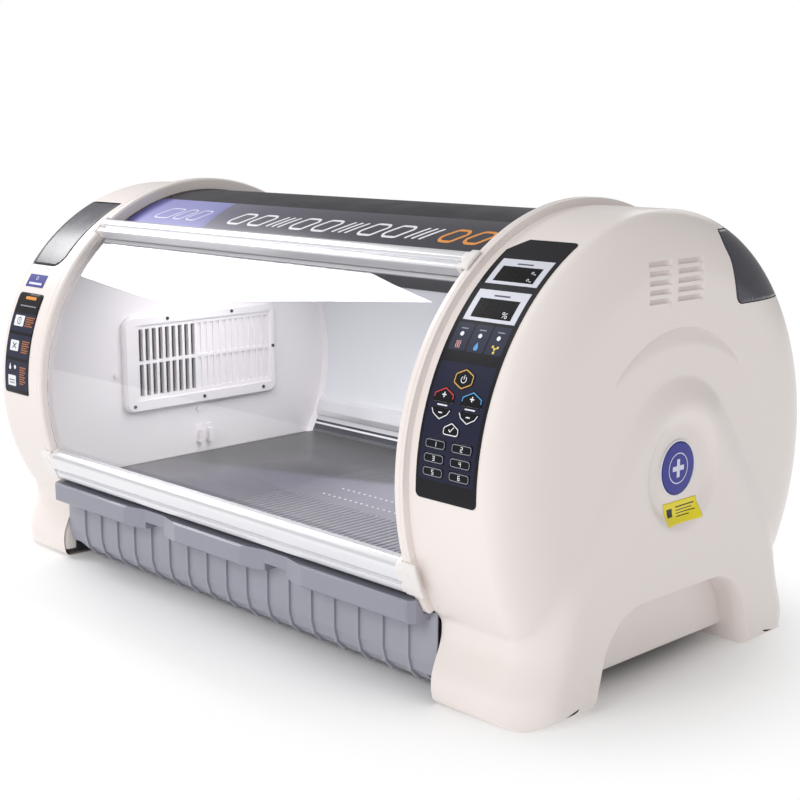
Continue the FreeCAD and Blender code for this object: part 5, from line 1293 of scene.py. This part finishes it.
rail = {
    "outer": 373.0,
    "base": 350.0,
    "metalHalf": 440.0,
    "overFlange": 366.4,
    "uppers": (49.5, 55.0, 12.0),
    "lowers": (-24.5, -16.4, 29.0),
}


def railProfile(width, base, plain):
    # Across the rail: lip, groove and a bold round bead, as (way, radius) points from its lower edge.
    top = rail["outer"]
    if plain:
        return rounded([(0.0, base, 0.0), (0.0, top - 1.6, 1.4), (0.3 * width, top, 4.0),
                        (0.8 * width, top, 4.0),
                        (width, top - 2.4, 1.6), (width, base, 0.0)], 1.0)
    tall = min(1.0, (top - base) / 22.0)
    corners = [(0.0, base, 0.0), (0.0, top - 2.5 * tall, 2.4 * tall),
               (0.25 * width, top - 2.5 * tall, 1.6 * tall),
               (0.29 * width, top - 7.0 * tall, 1.0 * tall), (0.35 * width, top - 7.0 * tall, 1.0 * tall),
               (0.38 * width, top, 6.0 * tall), (0.86 * width, top, 10.0 * tall),
               (width, top - 12.0 * tall, 4.0 * tall),
               (width, base, 0.0)]
    return rounded(corners, 2.0)


def railRun(low, high, base, stations, plain=False):
    # The profile laid at each (x, inset) station; the inset draws it in towards its middle.
    middle = math.radians((low + high) / 2.0)
    width = math.radians(high - low) * rail["outer"]
    profile = railProfile(width, base, plain)
    centre = np.array([width / 2.0, (base + rail["outer"]) / 2.0])
    grid = []
    for x, inset in stations:
        size = np.array([width, rail["outer"] - base])
        spot = centre + (profile - centre) * (1.0 - 2.0 * inset / size)
        angle = middle + (spot[:, 0] - width / 2.0) / rail["outer"]
        grid.append(np.column_stack([np.full(len(spot), x), -spot[:, 1] * np.cos(angle),
                                     axisZ + spot[:, 1] * np.sin(angle)]))
    grid = np.array(grid)
    rows, count = grid.shape[0], grid.shape[1]
    closed = np.concatenate([grid, grid[:, :1]], 1)
    faces = [gridFaces(rows, count + 1)]
    faces.append(np.arange(count)[None, :])
    faces.append(((rows - 1) * (count + 1) + np.arange(count))[None, :])
    return closed.reshape(-1, 3), faces


half = rail["metalHalf"]
for node, name, low, high, reach in (("door_rail_upper", "railUpper", *rail["uppers"]),
                                     ("door_rail_lower", "railLower", *rail["lowers"])):
    points, faces = railRun(low, high, rail["base"] + 1.0, [(x, 0.0) for x in np.linspace(-half, half, 12)])
    piece = addPiece(name, points, faces, "brightRail", "door", 0.0, None)
    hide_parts(node)
    for side, word in ((1.0, "Right"), (-1.0, "Left")):
        end = halfGap + reach
        stations = [(half, 0.15), (half + 2.0, 0.1), (halfGap - 2.0, 0.1)]
        inner, innerFaces = railRun(low, high, rail["base"] + 1.0, stations)
        stations = [(halfGap - 2.4, 0.1), (end - 3.0, 0.1), (end - 1.4, 0.5), (end - 0.4, 1.4), (end, 2.8)]
        outerPart, outerFaces = railRun(low, high, rail["overFlange"], stations, True)
        points = np.vstack([inner, outerPart]) * np.array([side, 1.0, 1.0])
        faces = innerFaces + [g + len(inner) for g in outerFaces]
        piece = addPiece(name + "Plug" + word, points, faces, "whitePlug", "door", 0.0, None)
        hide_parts("door_end_plugs")
print("rails built")


# Chamber: dark foot of the rear liner with a painted highlight line along its top and a painted shadow strip, and the
# floor's small domes

chamber = {
    "liner": 316.6,
    "dark": (149.0, 165.0),
    # A painted highlight along the top of the dark foot
    "line": (164.0, 167.4),
    # Painted shade: a dark strip under the band
    "shadow": (167.4, 171.5),
    "band": (171.5, 184.0),
    "half": 468.0,
    "dotRows": (-3.0, -48.0),
    "dotStart": -60.0,
    "dotPitch": 13.8,
    "dotCount": 36,
    "slotFirst": -137.3,
    "slotPitch": 12.7,
    "slotWidth": 6.0,
    "slotEnds": (-282.0, -80.0),
    "slotMargin": 18.0,
    "coverRadius": 345.0,
    "coverHalf": 443.0,
    "coverEdge": 22.0,
    "coverBands": (("coverEdgeLine", "printGrey", 0.0, 0.08), ("coverEdgeLow", "bandLight", 0.08, 0.38),
                   ("coverEdgeMiddle", "bandMetal", 0.38, 0.5), ("coverEdgeHigh", "bandLight", 0.5, 1.0)),
    "floorTop": 149.0,
}


def rearStrip(low, high, radius):
    # A strip of the rear liner between two heights.
    angle = np.arcsin((np.linspace(low, high, 9) - axisZ) / radius)
    x = np.linspace(-chamber["half"], chamber["half"], 9)
    grid = np.stack([np.repeat(x[None, :], 9, 0), radius * np.cos(angle)[:, None] + 0.0 * x,
                     axisZ + radius * np.sin(angle)[:, None] + 0.0 * x], -1)
    return grid.reshape(-1, 3), gridFaces(9, 9)


# Rear liner strips: the dark foot, a painted highlight line along its top, a painted shadow strip above that, and the
# band.
for name, finish, key, lift in (("linerFoot", "linerDark", "dark", 0.0),
                                ("linerHighlightLine", "printWhite", "line", 1.2),
                                ("linerShadow", "linerDark", "shadow", 0.4),
                                ("linerBand", "bandMetal", "band", 0.4)):
    points, faces = rearStrip(*chamber[key], chamber["liner"] - lift)
    piece = addPiece(name, points, faces, finish, "housing", 0.0, (0.0, 900.0, 150.0))
# The floor sheet: long drain slots over its right part, from the front edge to the domes
low, high = (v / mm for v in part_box("floor_plate"))
outline = rounded([(low.x, low.y, 8.0), (high.x, low.y, 8.0), (high.x, high.y, 8.0), (low.x, high.y, 8.0)],
                  12.0)
slots = []
for index in range(int((high.x - chamber["slotMargin"] - chamber["slotFirst"]) / chamber["slotPitch"])):
    x = chamber["slotFirst"] + index * chamber["slotPitch"]
    y0, y1 = chamber["slotEnds"]
    corners = [(x, y0, 2.0), (x + chamber["slotWidth"], y0, 2.0), (x + chamber["slotWidth"], y1, 2.0),
               (x, y1, 2.0)]
    slots.append(rounded(corners, 20.0))
flat, faces = triangulate(outline, slots, [], np.zeros((0, 2)), 1.0)
points = np.column_stack([flat, np.full(len(flat), high.z)])
piece = addPiece("floorSheet", points, faces, "floorPlatePaintedLight", bodyOf["floor_plate"],
                 high.z - low.z, (0.0, 0.0, 0.0))
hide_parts("floor_plate")
dome = np.array([(0.0, 0.9), (1.1, 0.7), (1.9, 0.3), (2.3, 0.0)])
angle = np.linspace(0.0, 2.0 * math.pi, 13)
spots, groups, offset = [], [], 0
for y in chamber["dotRows"]:
    for index in range(chamber["dotCount"]):
        x = chamber["dotStart"] + index * chamber["dotPitch"]
        grid = np.stack([x + dome[:, :1] * np.cos(angle), y + dome[:, :1] * np.sin(angle),
                         np.repeat(chamber["floorTop"] + dome[:, 1:], 13, 1)], -1)
        spots.append(grid.reshape(-1, 3))
        groups.append(gridFaces(4, 13) + offset)
        offset += 52
piece = addPiece("floorDomes", np.vstack(spots), groups, "dotMetal", bodyOf["floor_plate"],
                 0.0, (0.0, 0.0, 0.0))
# The bright turned edge of the top cover, in four bands seen through the door
coverLow, coverHigh = (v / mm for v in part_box("top_cover"))
edgeRadius = chamber["coverRadius"] + 0.4
edgeStart = edgeRadius * math.acos(-coverLow.y / chamber["coverRadius"])
for name, finish, start, end in chamber["coverBands"]:
    s0, s1 = (edgeStart + share * chamber["coverEdge"] for share in (start, end))
    outline = np.array([(-chamber["coverHalf"], s0), (chamber["coverHalf"], s0), (chamber["coverHalf"], s1),
                        (-chamber["coverHalf"], s1)])
    flat, faces = fill(cutShort(outline, 6.0, True))
    addPiece(name, laid(flat, edgeRadius), faces, finish, "housing", 0.0, (0.0, 0.0, axisZ))
nodes["grille_screws"].data.materials[0] = finishes["inletBlack"]
nodes["ceiling_profile"].data.materials[0] = finishes["bandMetal"]
# A dark sheet behind the grille's open half: painted shade, standing in for the unlit duct seen through it.
low, high = (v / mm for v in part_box("vent_grille"))
shadeSheetX = low.x + 0.6
edges = (low.y + 14.0, (low.y + high.y) / 2.0 - 2.0, low.z + 14.0, high.z - 14.0)
points = [(shadeSheetX, edges[0], edges[2]), (shadeSheetX, edges[1], edges[2]), (shadeSheetX, edges[1], edges[3]),
          (shadeSheetX, edges[0], edges[3])]
addPiece("grillePaintedShade", points, np.array([[0, 1, 2, 3]]), "inletBlack", "housing", 0.0,
         (shadeSheetX - 50.0, 0.0, 300.0))
print("chamber dressed")


# Camera, floor and light

camera = {
    "place": (1.8128, -1.6522, 0.7949),
    "right": (0.690347, 0.723480, -0.002364),
    "up": (-0.137103, 0.134030, 0.981450),
    "back": (0.710373, -0.677214, 0.191717),
    "lens": 66.0,
    "sensor": 36.0,
}
lens = bpy.data.cameras.new("camera")
lens.lens = camera["lens"]
lens.sensor_width = camera["sensor"]
lens.clip_end = 60.0
eye = bpy.data.objects.new("camera", lens)
bpy.context.scene.collection.objects.link(eye)
turn = Matrix((camera["right"], camera["up"], camera["back"])).transposed().to_4x4()
eye.matrix_world = Matrix.Translation(camera["place"]) @ turn
bpy.context.scene.camera = eye

studio = {
    "floorHalf": 12.0,
    "floorColour": tone(250, 250, 250),
    "floorFade": (0.47, 0.82),
    "floorStretch": (0.85, 1.25, 1.0),
    "worldStrength": 0.43,
    "lamps": [
        # name, place, aim, size, power, spin about the vertical, seen in glass
        ("keyLamp", (-2.74, -0.68, 2.3), (-2.74, -0.68, 0.0), (2.35, 1.35), 84.0, 25.0, True),
        ("frontLamp", (0.6, -3.6, 2.2), (0.0, 0.0, 0.3), (2.6, 1.8), 62.0, 0.0, False),
        ("sideLamp", (3.4, -1.5, 1.9), (0.6, 0.0, 0.3), (1.4, 1.4), 4.0, 0.0, False),
        ("rearLamp", (-1.0, 3.4, 2.4), (0.0, 0.0, 0.3), (2.2, 1.6), 12.0, 0.0, True),
        ("chamberLamp", (0.0, -0.02, 0.56), (0.0, -0.02, 0.0), (0.8, 0.24), 3.0, 0.0, False),
    ],
}


def floorMaterial():
    # A pale floor that takes the shadow near the machine and glows white further off.
    made = bpy.data.materials.new("floor")
    made.use_nodes = True
    tree = made.node_tree
    shader = tree.nodes["Principled BSDF"]
    shader.inputs["Base Color"].default_value = (*studio["floorColour"], 1.0)
    shader.inputs["Roughness"].default_value = 0.55
    shader.inputs["Specular IOR Level"].default_value = 0.25
    out = tree.nodes["Material Output"]
    glow = addNode(tree, "ShaderNodeEmission", Strength=1.0)
    glow.inputs["Color"].default_value = (1.0, 1.0, 1.0, 1.0)
    place = addNode(tree, "ShaderNodeTexCoord")
    squeeze = addNode(tree, "ShaderNodeVectorMath", operation="MULTIPLY")
    squeeze.inputs[1].default_value = studio["floorStretch"]
    length = addNode(tree, "ShaderNodeVectorMath", operation="LENGTH")
    spread = addNode(tree, "ShaderNodeMapRange", interpolation_type="SMOOTHSTEP")
    spread.inputs["From Min"].default_value = studio["floorFade"][0]
    spread.inputs["From Max"].default_value = studio["floorFade"][1]
    mix = addNode(tree, "ShaderNodeMixShader")
    tree.links.new(place.outputs["Object"], squeeze.inputs[0])
    tree.links.new(squeeze.outputs["Vector"], length.inputs[0])
    tree.links.new(length.outputs["Value"], spread.inputs["Value"])
    tree.links.new(spread.outputs["Result"], mix.inputs["Fac"])
    tree.links.new(shader.outputs["BSDF"], mix.inputs[1])
    tree.links.new(glow.outputs["Emission"], mix.inputs[2])
    tree.links.new(mix.outputs["Shader"], out.inputs["Surface"])
    return made


half = studio["floorHalf"]
floorMesh = bpy.data.meshes.new("floor")
floorMesh.from_pydata([(-half, -half, 0), (half, -half, 0), (half, half, 0), (-half, half, 0)], [],
                      [(0, 1, 2, 3)])
floor = bpy.data.objects.new("floor", floorMesh)
floorMesh.materials.append(floorMaterial())
bpy.context.scene.collection.objects.link(floor)
floor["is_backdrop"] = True

world = bpy.data.worlds.new("studio")
bpy.context.scene.world = world
world.use_nodes = True
tree = world.node_tree
plain = tree.nodes["Background"]
plain.inputs["Color"].default_value = (1.0, 1.0, 1.0, 1.0)
plain.inputs["Strength"].default_value = studio["worldStrength"]
white = addNode(tree, "ShaderNodeBackground", Strength=1.0)
white.inputs["Color"].default_value = (1.0, 1.0, 1.0, 1.0)
path = addNode(tree, "ShaderNodeLightPath")
mix = addNode(tree, "ShaderNodeMixShader")
tree.links.new(path.outputs["Is Camera Ray"], mix.inputs["Fac"])
tree.links.new(plain.outputs["Background"], mix.inputs[1])
tree.links.new(white.outputs["Background"], mix.inputs[2])
tree.links.new(mix.outputs["Shader"], tree.nodes["World Output"].inputs["Surface"])

for name, place, aim, size, power, spin, mirrored in studio["lamps"]:
    lamp = bpy.data.lights.new(name, "AREA")
    lamp.shape = "RECTANGLE"
    lamp.size, lamp.size_y = size
    lamp.energy = power
    holder = bpy.data.objects.new(name, lamp)
    holder.location = place
    holder.rotation_euler = (Vector(aim) - Vector(place)).to_track_quat("-Z", "Y").to_euler()
    holder.rotation_euler.z += math.radians(spin)
    holder.visible_camera = False
    holder.visible_glossy = mirrored
    holder.visible_transmission = mirrored
    bpy.context.scene.collection.objects.link(holder)
bpy.context.scene.view_settings.view_transform = "Standard"
print("stage ready")

low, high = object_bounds()
